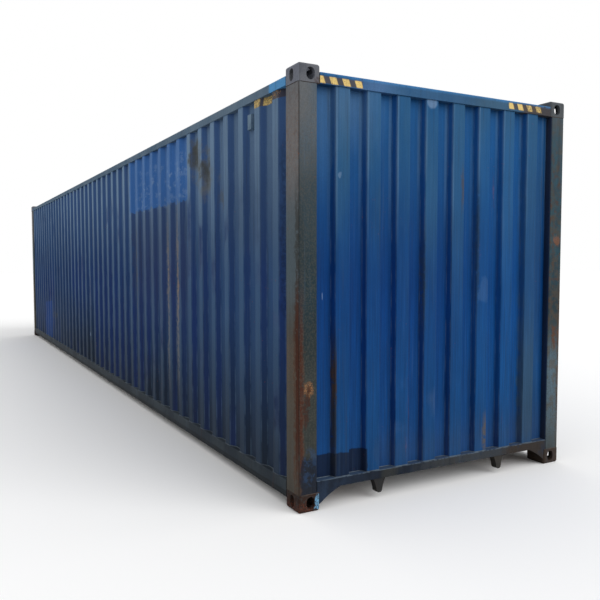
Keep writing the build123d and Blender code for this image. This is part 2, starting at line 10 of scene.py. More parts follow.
import logging
from abc import ABC, abstractmethod
from dataclasses import dataclass, replace
from enum import Enum
from itertools import product
from math import pi, tan
from typing import Any, Iterable

import bmesh
import bpy
from mathutils import Matrix, Vector

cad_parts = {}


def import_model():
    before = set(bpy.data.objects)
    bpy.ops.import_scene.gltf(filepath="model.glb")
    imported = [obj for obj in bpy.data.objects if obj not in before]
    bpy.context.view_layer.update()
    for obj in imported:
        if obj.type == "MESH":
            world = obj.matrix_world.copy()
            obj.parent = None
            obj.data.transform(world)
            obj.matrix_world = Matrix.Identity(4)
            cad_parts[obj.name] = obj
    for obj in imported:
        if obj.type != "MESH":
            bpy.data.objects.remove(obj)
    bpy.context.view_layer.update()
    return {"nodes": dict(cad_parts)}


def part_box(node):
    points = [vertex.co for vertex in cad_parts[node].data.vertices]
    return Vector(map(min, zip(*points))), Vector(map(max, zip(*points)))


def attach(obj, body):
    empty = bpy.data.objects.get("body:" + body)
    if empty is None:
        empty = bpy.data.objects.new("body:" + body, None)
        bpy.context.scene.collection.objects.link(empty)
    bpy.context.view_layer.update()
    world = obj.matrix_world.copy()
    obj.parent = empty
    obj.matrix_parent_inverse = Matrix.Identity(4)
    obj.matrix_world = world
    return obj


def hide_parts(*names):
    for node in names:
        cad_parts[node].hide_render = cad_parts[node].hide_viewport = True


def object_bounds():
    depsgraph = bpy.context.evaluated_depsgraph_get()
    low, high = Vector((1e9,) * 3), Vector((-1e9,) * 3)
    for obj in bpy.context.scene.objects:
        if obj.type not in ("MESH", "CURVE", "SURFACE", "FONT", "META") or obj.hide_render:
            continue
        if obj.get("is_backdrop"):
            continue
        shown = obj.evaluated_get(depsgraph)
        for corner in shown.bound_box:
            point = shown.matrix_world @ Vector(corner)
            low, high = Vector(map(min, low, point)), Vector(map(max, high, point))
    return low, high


LOG = logging.getLogger("container")

Color = tuple[float, float, float, float]
Triple = tuple[float, float, float]
Span = tuple[float, float]
Box = tuple[Vector, Vector]
Socket = bpy.types.NodeSocket
Value = Any


class Direction(Enum):
    """An axis of the frame, as the place of its coordinate in a point."""

    ALONG = 0
    ACROSS = 1
    UP = 2


class Facing(Enum):
    """The way that a face looks."""

    FRONT = (1.0, 0.0, 0.0)
    RIGHT = (0.0, -1.0, 0.0)


class Outline(Enum):
    """How a patch ends: at straight edges, or round like a blot."""

    STRAIGHT = "straight"
    ROUND = "round"


def paint(red: int, green: int, blue: int) -> Color:
    """Turns a colour-card value into the linear colour that a shader takes.

    Args:
        red: Red from 0 to 255.
        green: Green from 0 to 255.
        blue: Blue from 0 to 255.

    Returns:
        The linear colour with full alpha.
    """

    def linear(channel: int) -> float:
        """Undoes the display curve of one channel."""
        share = channel / 255
        return share / 12.92 if share <= 0.04045 else ((share + 0.055) / 1.055) ** 2.4

    return (linear(red), linear(green), linear(blue), 1.0)


@dataclass(frozen=True)
class Cloud:
    """A noise pattern.

    scale is how many clouds it has to the metre, detail how many finer layers, roughness how
    strong those layers are, and stretch a further scale along each axis.
    """

    scale: float = 1.0
    detail: float = 2.0
    roughness: float = 0.5
    stretch: Triple | None = None

    def finer(self, factor: float) -> Cloud:
        """Gives the same pattern with that many times as many clouds."""
        return replace(self, scale=self.scale * factor)


class NodeGraph:
    """Adds nodes to a tree and joins them."""

    def __init__(self, tree: bpy.types.NodeTree) -> None:
        """Keeps the tree that the nodes go into."""
        self.tree = tree

    def add(self, kind: str, **settings: Any) -> bpy.types.Node:
        """Adds one node.

        Args:
            kind: The node's type name.
            **settings: Properties to set on the node.

        Returns:
            The new node.
        """
        node = self.tree.nodes.new(kind)
        for name, value in settings.items():
            setattr(node, name, value)
        return node

    def feed(self, socket: Socket, value: Value) -> None:
        """Links a socket to another one, or sets it to a plain value."""
        if isinstance(value, bpy.types.NodeSocket):
            self.tree.links.new(value, socket)
        else:
            socket.default_value = value

    def math(self, operation: str, *values: Value) -> Socket:
        """Adds one sum.

        Args:
            operation: The Math node's operation.
            *values: Sockets or numbers, in the node's order.

        Returns:
            The result's socket.
        """
        node = self.add("ShaderNodeMath", operation=operation)
        for socket, value in zip(node.inputs, values):
            self.feed(socket, value)
        return node.outputs[0]

    def chain(self, operation: str, *values: Value) -> Socket:
        """Joins any number of values by one operation, from the first to the last."""
        result = values[0]
        for value in values[1:]:
            result = self.math(operation, result, value)
        return result

    def times(self, *values: Value) -> Socket:
        """Multiplies any number of values."""
        return self.chain("MULTIPLY", *values)

    def plus(self, *values: Value) -> Socket:
        """Adds up any number of values."""
        return self.chain("ADD", *values)

    def minus(self, *values: Value) -> Socket:
        """Takes all further values away from the first."""
        return self.chain("SUBTRACT", *values)

    def clamped(self, value: Value, low: Value, high: Value) -> Socket:
        """Keeps a value between two limits."""
        return self.math("MINIMUM", self.math("MAXIMUM", value, low), high)

    def ramp(self, value: Value, low: Value, high: Value) -> Socket:
        """Rises smoothly from 0 at low to 1 at high, or falls where high is below low."""
        node = self.add("ShaderNodeMapRange", interpolation_type="SMOOTHSTEP")
        for label, number in zip(("Value", "From Min", "From Max"), (value, low, high)):
            self.feed(node.inputs[label], number)
        return node.outputs["Result"]

    def noise(self, vector: Value, cloud: Cloud) -> bpy.types.Node:
        """Adds one noise pattern.

        Args:
            vector: The point to read it at.
            cloud: The pattern.

        Returns:
            The pattern's node, whose first output is a value around one half.
        """
        node = self.add("ShaderNodeTexNoise")
        place = self.stretched(vector, cloud.stretch) if cloud.stretch else vector
        values = (place, cloud.scale, cloud.detail, cloud.roughness)
        for label, value in zip(("Vector", "Scale", "Detail", "Roughness"), values):
            self.feed(node.inputs[label], value)
        return node

    def stretched(self, vector: Socket, factors: Triple) -> Socket:
        """Scales a point by its own factor along each axis."""
        node = self.add("ShaderNodeVectorMath", operation="MULTIPLY")
        self.feed(node.inputs[0], vector)
        self.feed(node.inputs[1], factors)
        return node.outputs[0]

    def split(self, vector: Socket) -> tuple[Socket, Socket, Socket]:
        """Takes a point apart into its coordinates."""
        node = self.add("ShaderNodeSeparateXYZ")
        self.feed(node.inputs[0], vector)
        return (node.outputs[0], node.outputs[1], node.outputs[2])

    def joined(self, x: Value, y: Value, z: Value) -> Socket:
        """Makes a point from its coordinates."""
        node = self.add("ShaderNodeCombineXYZ")
        for socket, value in zip(node.inputs, (x, y, z)):
            self.feed(socket, value)
        return node.outputs[0]


WANDER = Cloud(1.0, 4.0, 0.6)
WANDER_REACH = 4.0
FACING_EDGE: Span = (0.55, 0.8)
MIX_INPUTS = (0, 6, 7)
MIX_RESULT = 2


class ShaderGraph(NodeGraph):
    """The node tree of one new material, with its coordinates at hand."""

    def __init__(self, name: str) -> None:
        """Starts a material of that name."""
        self.material = bpy.data.materials.new(name)
        self.material.use_nodes = True
        super().__init__(self.material.node_tree)
        self.shader = self.tree.nodes["Principled BSDF"]
        self.point = self.add("ShaderNodeTexCoord").outputs["Object"]
        self.axes = self.split(self.point)
        self.level = self.axes[Direction.UP.value]
        self.normal = self.add("ShaderNodeNewGeometry").outputs["Normal"]

    def facing(self, way: Facing) -> Socket:
        """Is 1 on faces that look one way and 0 on the others."""
        node = self.add("ShaderNodeVectorMath", operation="DOT_PRODUCT")
        self.feed(node.inputs[0], self.normal)
        self.feed(node.inputs[1], way.value)
        return self.ramp(node.outputs["Value"], *FACING_EDGE)

    def cloud(self, cloud: Cloud) -> Socket:
        """Reads a noise pattern at the shaded point."""
        return self.noise(self.point, cloud).outputs[0]

    def wandering(self, scale: float, reach: float) -> list[Socket]:
        """Gives the three coordinates, each shifted by a cloud of its own.

        Args:
            scale: How many clouds to the metre.
            reach: About how far they shift, in metres.

        Returns:
            The shifted coordinates.
        """
        clouds = self.split(self.noise(self.point, WANDER.finer(scale)).outputs["Color"])
        return [
            self.plus(axis, self.times(self.plus(cloud, -0.5), WANDER_REACH * reach))
            for axis, cloud in zip(self.axes, clouds)
        ]

    def swing(self, value: Socket, amount: Value) -> Socket:
        """Turns a cloud around one half into a factor around 1."""
        return self.plus(1.0, self.times(self.plus(value, -0.5), 2.0, amount))

    def blend(self, mask: Value, under: Value, over: Value) -> Socket:
        """Lays one colour over another where the mask is 1."""
        node = self.add("ShaderNodeMix", data_type="RGBA")
        for place, value in zip(MIX_INPUTS, (mask, under, over)):
            self.feed(node.inputs[place], value)
        return node.outputs[MIX_RESULT]

    def shaded(self, color: Value, factor: Value) -> Socket:
        """Makes a colour lighter or darker by a factor."""
        node = self.add("ShaderNodeVectorMath", operation="SCALE")
        self.feed(node.inputs[0], color if isinstance(color, bpy.types.NodeSocket) else color[:3])
        self.feed(node.inputs["Scale"], factor)
        return node.outputs[0]

    def within(self, value: Socket, span: Span, soft: float) -> Socket:
        """Is 1 inside a span and 0 outside, with soft ends."""
        rise = self.ramp(value, span[0] - soft, span[0] + soft)
        fall = self.ramp(value, span[1] + soft, span[1] - soft)
        return self.times(rise, fall)

    def bumped(self, height: Socket, distance: float) -> None:
        """Roughens the shader's surface by a height in metres."""
        node = self.add("ShaderNodeBump")
        self.feed(node.inputs["Height"], height)
        self.feed(node.inputs["Distance"], distance)
        self.feed(self.shader.inputs["Normal"], node.outputs["Normal"])

    def set(self, **values: Value) -> None:
        """Feeds shader inputs, written with underscores for spaces."""
        for label, value in values.items():
            self.feed(self.shader.inputs[label.replace("_", " ")], value)


FLAKES = Cloud(3.0, 6.0, 0.65)
FLAKE_EDGE = 0.07
SCRATCHES = Cloud(1.0, 3.0)
BLOT_EDGE: Span = (1.35, 0.55)


@dataclass(frozen=True)
class Patch:
    """An area of another colour, bounded along any of the three axes.

    ragged is how far its edge wanders, grain how many wanders to the metre, soft how wide
    its edge is, fade the same for its upper and lower edges, cover how much of the ground it
    hides, broken how much of it has worn away, and hairline the width of the thin curved
    scratches that it is drawn in.
    """

    color: Color
    along: Span | None = None
    across: Span | None = None
    up: Span | None = None
    outline: Outline = Outline.STRAIGHT
    facing: Facing | None = None
    ragged: float = 0.03
    grain: float = 9.0
    soft: float = 0.012
    fade: float = 0.0
    cover: float = 1.0
    broken: float = 0.0
    hairline: float = 0.0

    def mask(self, graph: ShaderGraph) -> Socket:
        """Draws the patch's mask.

        Args:
            graph: The material that it goes into.

        Returns:
            The mask's socket.
        """
        places = graph.wandering(self.grain, self.ragged)
        softness = (self.soft, self.soft, self.fade or self.soft)
        limits = [
            limit for limit in zip(places, (self.along, self.across, self.up), softness) if limit[1]
        ]
        mask: Value = self.cover
        if self.outline is Outline.ROUND:
            offsets = [
                graph.times(graph.plus(place, -sum(span) / 2), 2 / (span[1] - span[0]))
                for place, span, _ in limits
            ]
            reach = graph.plus(*[graph.times(offset, offset) for offset in offsets])
            mask = graph.times(mask, graph.ramp(reach, *BLOT_EDGE))
        else:
            for place, span, soft in limits:
                mask = graph.times(mask, graph.within(place, span, soft))
        if self.facing:
            mask = graph.times(mask, graph.facing(self.facing))
        if self.broken:
            flakes = graph.cloud(FLAKES.finer(self.grain))
            kept = graph.ramp(flakes, self.broken - FLAKE_EDGE, self.broken + FLAKE_EDGE)
            mask = graph.times(mask, kept)
        if self.hairline:
            ridge = graph.math("ABSOLUTE", graph.plus(graph.cloud(SCRATCHES.finer(self.grain)), -0.5))
            mask = graph.times(mask, graph.ramp(ridge, self.hairline, self.hairline / 3))
        return mask


CHIPS = Cloud(1.0, 4.0, 0.7)


@dataclass(frozen=True)
class HazardBand:
    """Leaning yellow blocks on black, painted along an edge.

    share is how much of a period is yellow, worn how much of that has chipped off, and soft
    how wide the band's edges are along it, up and across. lead and rim are the same for the
    start and the end of a block, as shares of the period, and flake for the chips in it.
    """

    run: Direction
    span: Span
    up: Span
    side: Span
    period: float = 0.098
    share: float = 0.56
    lean: float = 0.4
    worn: float = 0.38
    chips: float = 130.0
    start: float = 0.0
    soft: Triple = (0.006, 0.004, 0.002)
    lead: float = 0.06
    rim: float = 0.05
    flake: float = 0.08
    black_cover: float = 0.8
    yellow: Color = paint(222, 192, 120)
    black: Color = paint(78, 70, 64)

    def lay(self, graph: ShaderGraph, ground: Socket) -> Socket:
        """Paints the band over a colour.

        Args:
            graph: The material that it goes into.
            ground: The colour below.

        Returns:
            The painted colour's socket.
        """
        along = graph.axes[self.run.value]
        crosswise = Direction.ACROSS if self.run is Direction.ALONG else Direction.ALONG
        places = (along, graph.level, graph.axes[crosswise.value])
        spans = (self.span, self.up, self.side)
        area = graph.times(*[graph.within(*limit) for limit in zip(places, spans, self.soft)])
        rise = graph.plus(graph.level, -self.up[0])
        slanted = graph.plus(along, graph.times(rise, self.lean), -self.start)
        phase = graph.math("FRACT", graph.math("DIVIDE", slanted, self.period))
        block = graph.times(
            graph.ramp(phase, self.share + self.rim, self.share - self.rim), graph.ramp(phase, 0.0, self.lead)
        )
        chips = graph.cloud(CHIPS.finer(self.chips))
        flakes = graph.ramp(chips, self.worn - self.flake, self.worn + self.flake)
        dark = graph.blend(graph.times(area, self.black_cover), ground, self.black)
        return graph.blend(graph.times(area, block, flakes), dark, self.yellow)


@dataclass(frozen=True)
class Wear:
    """How far a coat has weathered, each from 0 to 1. The darkening towards the foot is road dirt and painted
    shade.
    """

    streaks: float = 0.4
    rust: float = 0.3
    dirt_and_shade: float = 0.4
    mottle: float = 0.3
    brush: float = 0.2
    grit: float = 0.16


class Finish(ABC):
    """A material of this container."""

    name: str

    @abstractmethod
    def build(self) -> bpy.types.Material:
        """Makes the material."""


BROAD = Cloud(1.3, 5.0, 0.6)
BRUSHED = Cloud(1.0, 4.0, 0.6, (85.0, 85.0, 2.0))
GRIT = Cloud(95.0, 3.0, 0.65)
RUNS = Cloud(1.0, 5.0, 0.65, (34.0, 34.0, 0.9))
SPECKS = Cloud(30.0, 7.0, 0.7)
RUST_AREAS = Cloud(2.1, 3.0)
DRIPS = Cloud(1.0, 5.0, 0.65, (13.0, 13.0, 1.1))
BRUSHED_HEIGHT: Span = (2.4, 0.8)
BRUSHED_TOP = 0.35
PALE_SHARE = 0.45
PALE_RUNS: Span = (0.56, 0.76)
DARK_RUNS: Span = (0.46, 0.28)
RUSTED_AREAS: Span = (0.46, 0.62)
RUST_SPOTS: Span = (0.63, 0.70)
RUST_DRIPS: Span = (0.66, 0.76)
FRESH_RUST: Span = (0.45, 0.62)
LOW_DARKENING_WANDER = 0.5
RUST_ROUGHNESS = 0.3
SPECK_ROUGHNESS = 0.15
SPECK_RELIEF = 0.4
RUN_RELIEF = 0.2


@dataclass(frozen=True)
class WornCoat(Finish):
    """Old paint: a ground colour, then patches, streaks, rust, and a darkening towards the foot that is road
    dirt and painted shade.
    """

    name: str
    wear: Wear = Wear()
    patches: tuple[Patch, ...] = ()
    bands: tuple[HazardBand, ...] = ()
    roughness: float = 0.6
    gloss: float = 0.1
    # Pale chalky paint, for worn streaks and for the painted highlights along the ribs' bends.
    chalk_and_highlight: Color = paint(96, 122, 150)
    grime: Color = paint(44, 46, 46)
    rust: Color = paint(88, 50, 30)
    rust_fresh: Color = paint(150, 82, 42)
    # Colour of the darkening towards the foot: road dirt and painted shade.
    dirt_and_shade: Color = paint(50, 50, 48)
    dirt_and_shade_up: Span = (1.1, 0.15)
    relief: float = 0.0012

    @abstractmethod
    def ground(self, graph: ShaderGraph) -> Socket:
        """Gives the sound paint's colour."""

    def build(self) -> bpy.types.Material:
        """Makes the material, layer by layer."""
        graph = ShaderGraph(self.name)
        color = self.ground(graph)
        for patch in self.patches:
            color = graph.blend(patch.mask(graph), color, patch.color)
        for band in self.bands:
            color = band.lay(graph, color)

        broad = graph.cloud(BROAD)
        lower = graph.times(graph.ramp(graph.level, *BRUSHED_HEIGHT), 1 - BRUSHED_TOP)
        brush = graph.times(graph.plus(BRUSHED_TOP, lower), self.wear.brush)
        color = graph.shaded(color, graph.swing(broad, self.wear.mottle / 2))
        color = graph.shaded(color, graph.swing(graph.cloud(BRUSHED), brush))
        color = graph.shaded(color, graph.swing(graph.cloud(GRIT), self.wear.grit))

        run = graph.cloud(RUNS)
        pale_run = graph.times(graph.ramp(run, *PALE_RUNS), self.wear.streaks * PALE_SHARE)
        dark_run = graph.times(graph.ramp(run, *DARK_RUNS), self.wear.streaks)
        color = graph.blend(pale_run, color, self.chalk_and_highlight)
        color = graph.blend(dark_run, color, self.grime)

        specks = graph.cloud(SPECKS)
        areas = graph.ramp(graph.cloud(RUST_AREAS), *RUSTED_AREAS)
        spots = graph.times(graph.ramp(specks, *RUST_SPOTS), areas)
        drips = graph.ramp(graph.cloud(DRIPS), *RUST_DRIPS)
        rusted = graph.times(graph.math("MAXIMUM", spots, drips), self.wear.rust)
        brown = graph.blend(graph.ramp(specks, *FRESH_RUST), self.rust, self.rust_fresh)
        color = graph.blend(rusted, color, brown)

        # Darker towards the foot: road dirt and painted shade.
        low_dirt_and_shade = graph.ramp(graph.plus(graph.level, graph.times(broad, LOW_DARKENING_WANDER)), *self.dirt_and_shade_up)
        color = graph.blend(graph.times(low_dirt_and_shade, self.wear.dirt_and_shade), color, self.dirt_and_shade)

        grain = graph.times(specks, SPECK_ROUGHNESS)
        rough = graph.plus(self.roughness, graph.times(rusted, RUST_ROUGHNESS), grain)
        graph.set(Base_Color=color, Roughness=rough, Specular_IOR_Level=self.gloss)
        height = graph.plus(graph.times(specks, SPECK_RELIEF), rusted, graph.times(run, RUN_RELIEF))
        graph.bumped(height, self.relief)
        return graph.material


FOOT_TO_MIDDLE: Span = (0.15, 1.5)
MIDDLE_TO_TOP: Span = (1.4, 2.75)


@dataclass(frozen=True)
class Tones:
    """One paint's colour at the foot, the middle and the top of a wall. On the ribbed walls the darker foot
    and lighter top are painted shade and painted light.
    """

    foot: Color
    middle: Color
    top: Color

    @classmethod
    def even(cls, color: Color) -> Tones:
        """Gives a paint that is the same all the way up."""
        return cls(color, color, color)

    def at(self, graph: ShaderGraph) -> Socket:
        """Runs the three colours up the wall: a painted gradient of light and shade where they differ."""
        lower = graph.blend(graph.ramp(graph.level, *FOOT_TO_MIDDLE), self.foot, self.middle)
        return graph.blend(graph.ramp(graph.level, *MIDDLE_TO_TOP), lower, self.top)


CLOUD_EDGE: Span = (0.40, 0.62)


@dataclass(frozen=True)
class Tint:
    """A cast of another colour, in upright clouds over part of a wall's height."""

    color: Color
    share: float
    up: Span
    stretch: Triple = (3.0, 3.0, 0.7)

    def lay(self, graph: ShaderGraph, area: Value, ground: Socket) -> Socket:
        """Casts the tint over a colour.

        Args:
            graph: The material that it goes into.
            area: Where it may lie.
            ground: The colour below.

        Returns:
            The tinted colour's socket.
        """
        clouds = graph.ramp(graph.cloud(Cloud(detail=4.0, stretch=self.stretch)), *CLOUD_EDGE)
        height = graph.ramp(graph.level, *self.up)
        return graph.blend(graph.times(area, clouds, height, self.share), ground, self.color)


RUB_AND_HIGHLIGHT_CLOUDS = Cloud(detail=4.0, stretch=(9.0, 9.0, 2.0))
RUB_AND_HIGHLIGHT_EDGE: Span = (0.25, 0.6)


@dataclass(frozen=True)
class EdgeRubAndHighlight:
    """Pale lines beside the bends of a row of ribs, stronger towards the top: worn chalky paint and painted
    highlights.

    Each line is a span after the rib's start, in metres, and how much of the paint it hides.
    """

    run: Direction
    start: float
    pitch: float
    lines: tuple[tuple[Span, float], ...]
    up: Span
    color: Color
    soft: float = 0.004

    def lay(self, graph: ShaderGraph, ground: Socket) -> Socket:
        """Lays the pale lines of worn paint and painted highlight over a colour.

        Args:
            graph: The material that it goes into.
            ground: The colour below.

        Returns:
            The colour's socket with the lines laid over it.
        """
        offset = graph.plus(graph.axes[self.run.value], -self.start)
        place = graph.math("FLOORED_MODULO", offset, self.pitch)
        height = graph.ramp(graph.level, *self.up)
        rub_and_highlight = graph.ramp(graph.cloud(RUB_AND_HIGHLIGHT_CLOUDS), *RUB_AND_HIGHLIGHT_EDGE)
        for span, share in self.lines:
            line = graph.within(place, span, self.soft)
            ground = graph.blend(graph.times(line, height, rub_and_highlight, share), ground, self.color)
        return ground


# Clouds that break up the pale bend lines of worn paint and painted highlight.
BEND_RUB_AND_HIGHLIGHT = Cloud(7.0, 4.0)
BEND_RUB_AND_HIGHLIGHT_EDGE: Span = (0.3, 0.7)
BEND_REACH: Span = (0.5, 1.6)


@dataclass(frozen=True)
class SheetPaint(WornCoat):
    """Paint of a ribbed sheet, lighter on the ribs' outer faces and darker on their slopes; on the walls
    these are painted sheen and painted shade.
    """

    depth_axis: Direction = Direction.ACROSS
    recess: float = 0.0
    crest: float = 1.0
    bend_wear_and_highlight: float = 0.3
    bend_share: float = 0.14
    crest_tones: Tones = Tones(paint(30, 60, 104), paint(30, 64, 112), paint(38, 76, 122))
    slope_tones: Tones = Tones(paint(20, 48, 98), paint(20, 50, 104), paint(28, 60, 112))
    recess_tones: Tones = Tones(paint(26, 56, 102), paint(26, 60, 110), paint(34, 72, 120))
    crest_tint: Tint | None = None
    slope_tint: Tint | None = None
    edge_rub_and_highlight: EdgeRubAndHighlight | None = None

    def ground(self, graph: ShaderGraph) -> Socket:
        """Colours the ribs by how far out they stand, with painted sheen, shade and highlights."""
        reach = graph.math("ABSOLUTE", graph.axes[self.depth_axis.value])
        band = (self.crest - self.recess) * self.bend_share
        on_crest = graph.ramp(reach, self.crest - band, self.crest - band / 4)
        in_recess = graph.ramp(reach, self.recess + band, self.recess + band / 4)
        color = self.slope_tones.at(graph)
        if self.slope_tint:
            color = self.slope_tint.lay(graph, 1.0, color)
        color = graph.blend(in_recess, color, self.recess_tones.at(graph))
        color = graph.blend(on_crest, color, self.crest_tones.at(graph))
        if self.crest_tint:
            color = self.crest_tint.lay(graph, on_crest, color)
        # Pale lines at the bends: worn chalky paint and painted highlights.
        near, far = [share * band for share in BEND_REACH]
        outer_bend = graph.within(reach, (self.crest - far, self.crest - near), band / 3)
        inner_bend = graph.within(reach, (self.recess + near, self.recess + far), band / 3)
        rub_and_highlight = graph.ramp(graph.cloud(BEND_RUB_AND_HIGHLIGHT), *BEND_RUB_AND_HIGHLIGHT_EDGE)
        bends = graph.times(graph.plus(outer_bend, inner_bend), rub_and_highlight, self.bend_wear_and_highlight)
        color = graph.blend(bends, color, self.chalk_and_highlight)
        return self.edge_rub_and_highlight.lay(graph, color) if self.edge_rub_and_highlight else color


FADED_CLOUDS = Cloud(1.0, 6.0, 0.65, (1.0, 1.0, 0.6))


@dataclass(frozen=True)
class FramePaint(WornCoat):
    """Paint of posts and rails, worn in clouds from one colour to another."""

    sound: Tones = Tones.even(paint(72, 82, 88))
    faded: Tones = Tones.even(paint(92, 92, 88))
    cloud: float = 2.4

    def ground(self, graph: ShaderGraph) -> Socket:
        """Mixes sound and faded paint in clouds."""
        clouds = graph.cloud(FADED_CLOUDS.finer(self.cloud))
        return graph.blend(graph.ramp(clouds, *CLOUD_EDGE), self.sound.at(graph), self.faded.at(graph))


GRAIN_EDGE: Span = (0.35, 0.65)
GRAIN_ROUGHNESS = 0.15


@dataclass(frozen=True)
class PlainFinish(Finish):
    """One colour with a light grain, for rubber, plastic, zinc and board."""

    name: str
    color: Color
    shade: Color
    roughness: float = 0.6
    metal: float = 0.0
    grain: Triple = (12.0, 12.0, 12.0)
    gloss: float = 0.3
    relief: float = 0.0006

    def build(self) -> bpy.types.Material:
        """Makes the material."""
        graph = ShaderGraph(self.name)
        cloud = graph.cloud(Cloud(1.0, 5.0, 0.6, self.grain))
        color = graph.blend(graph.ramp(cloud, *GRAIN_EDGE), self.shade, self.color)
        graph.set(Base_Color=color, Metallic=self.metal, Specular_IOR_Level=self.gloss)
        graph.set(Roughness=graph.plus(self.roughness, graph.times(cloud, GRAIN_ROUGHNESS)))
        graph.bumped(cloud, self.relief)
        return graph.material


FLAT_WEIGHT = 90
BEAD_SIDES = 6


class GeometryGraph(NodeGraph):
    """A Geometry Nodes tree with named sizes and a material."""

    def __init__(self, name: str, sizes: dict[str, type]) -> None:
        """Starts a tree.

        Args:
            name: The tree's name.
            sizes: Each input's name, and int, float or Vector for its kind.
        """
        super().__init__(bpy.data.node_groups.new(name, "GeometryNodeTree"))
        kinds = {int: "NodeSocketInt", float: "NodeSocketFloat", Vector: "NodeSocketVector"}
        for label, kind in sizes.items():
            self.tree.interface.new_socket(label, in_out="INPUT", socket_type=kinds[kind])
        self.tree.interface.new_socket("Material", in_out="INPUT", socket_type="NodeSocketMaterial")
        self.tree.interface.new_socket("Geometry", in_out="OUTPUT", socket_type="NodeSocketGeometry")
        self.size = self.add("NodeGroupInput").outputs

    def step(self, kind: str, inputs: dict[str, Value], **settings: Any) -> Socket:
        """Adds a node, feeds its inputs by name and gives its first output.

        Args:
            kind: The node's type name.
            inputs: Values for its named inputs.
            **settings: Properties to set on the node.

        Returns:
            The first output's socket.
        """
        node = self.add(kind, **settings)
        for label, value in inputs.items():
            self.feed(node.inputs[label], value)
        return node.outputs[0]

    def moved(self, geometry: Socket, position: Socket) -> Socket:
        """Puts every point of a geometry at a new position."""
        return self.step("GeometryNodeSetPosition", {"Geometry": geometry, "Position": position})

    def bead(self, curve: Socket, ripple: Cloud, swell: Span) -> Socket:
        """Runs an uneven bead along a curve, as thick as the tree's Radius.

        Args:
            curve: The curve that it follows.
            ripple: The pattern of its thickness.
            swell: Its least thickness and how much the pattern adds, as shares of the radius.

        Returns:
            The bead's socket.
        """
        place = self.add("GeometryNodeInputPosition").outputs[0]
        thickness = self.plus(swell[0], self.times(self.noise(place, ripple).outputs[0], swell[1]))
        ring = self.step(
            "GeometryNodeCurvePrimitiveCircle", {"Resolution": BEAD_SIDES, "Radius": self.size["Radius"]}
        )
        return self.step(
            "GeometryNodeCurveToMesh", {"Curve": curve, "Profile Curve": ring, "Scale": thickness}
        )

    def close(self, geometry: Socket, smooth: bool = True) -> None:
        """Ends the tree: instances made real, the faces' shading and the material.

        Args:
            geometry: What the tree has made.
            smooth: Whether its faces are shaded as one curve.
        """
        real = self.step("GeometryNodeRealizeInstances", {"Geometry": geometry})
        shaded = self.step("GeometryNodeSetShadeSmooth", {"Geometry": real, "Shade Smooth": smooth})
        dressed = self.step(
            "GeometryNodeSetMaterial", {"Geometry": shaded, "Material": self.size["Material"]}
        )
        self.feed(self.add("NodeGroupOutput").inputs[0], dressed)

    def grow(self, name: str, values: dict[str, Value], wall: float = 0.0) -> bpy.types.Mesh:
        """Runs the tree once.

        Args:
            name: The mesh's name.
            values: A value for each of the tree's inputs.
            wall: Thickness to give an open sheet, behind its face.

        Returns:
            The result as a plain mesh.
        """
        holder = linked(name, bpy.data.meshes.new(name))
        modifier = holder.modifiers.new(name, "NODES")
        modifier.node_group = self.tree
        for item in self.tree.interface.items_tree:
            if item.in_out == "INPUT":
                modifier[item.identifier] = values[item.name]
        if wall:
            thickness = holder.modifiers.new("Sheet", "SOLIDIFY")
            thickness.thickness = wall
            thickness.offset = -1.0
            flats = holder.modifiers.new("Flats", "WEIGHTED_NORMAL")
            flats.weight = FLAT_WEIGHT
        return settled(holder)


def linked(name: str, data: bpy.types.ID) -> bpy.types.Object:
    """Puts a new object with a mesh, a lamp or a camera into the scene."""
    holder = bpy.data.objects.new(name, data)
    bpy.context.scene.collection.objects.link(holder)
    return holder


def settled(holder: bpy.types.Object) -> bpy.types.Mesh:
    """Turns an object's modifiers into a plain mesh of the same name and removes the object."""
    name = holder.name
    evaluated = holder.evaluated_get(bpy.context.evaluated_depsgraph_get())
    mesh = bpy.data.meshes.new_from_object(evaluated)
    holder.modifiers.clear()
    bpy.data.objects.remove(holder)
    mesh.name = name
    return mesh


def placed(name: str, meshes: Iterable[bpy.types.Mesh], slot: str, *nodes: str) -> bpy.types.Object:
    """Joins meshes into one piece of the container and ties it to the frame.

    Args:
        name: The piece's name.
        meshes: Meshes in their place, with one material.
        slot: The record's material slot, which is not used.
        *nodes: Frame nodes that the piece stands for.

    Returns:
        The piece.
    """
    parts = list(meshes)
    mesh = parts[0]
    if len(parts) > 1:
        work = bmesh.new()
        for part in parts:
            work.from_mesh(part)
        work.to_mesh(mesh)
        work.free()
    mesh.name = name
    piece = linked(name, mesh)
    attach(piece, "root")
    if nodes:
        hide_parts(*nodes)
    LOG.info("%s: %d faces", name, len(mesh.polygons))
    return piece


def mirrored(mesh: bpy.types.Mesh) -> bpy.types.Mesh:
    """Gives the left-hand copy of a right-hand mesh, with its faces still outward."""
    copy = mesh.copy()
    copy.transform(Matrix.Scale(-1.0, 4, Vector((0.0, 1.0, 0.0))))
    copy.flip_normals()
    return copy


SAME_POINT = 1e-5


def merged(node: bpy.types.Object) -> bmesh.types.BMesh:
    """Gives a copy of a node's mesh with its loose triangles joined."""
    work = bmesh.new()
    work.from_mesh(node.data)
    bmesh.ops.remove_doubles(work, verts=work.verts, dist=SAME_POINT)
    return work


def islands(work: bmesh.types.BMesh) -> list[list[bmesh.types.BMVert]]:
    """Lists the vertices of each separate solid of a joined mesh."""
    waiting = set(work.verts)
    solids = []
    for first in work.verts:
        if first not in waiting:
            continue
        waiting.remove(first)
        reached = [first]
        for vertex in reached:
            for edge in vertex.link_edges:
                other = edge.other_vert(vertex)
                if other in waiting:
                    waiting.remove(other)
                    reached.append(other)
        solids.append(reached)
    return solids


def limits(vertices: list[bmesh.types.BMVert]) -> Box:
    """Finds the low and high corners of a solid."""
    columns = list(zip(*[vertex.co for vertex in vertices]))
    return Vector([min(column) for column in columns]), Vector([max(column) for column in columns])


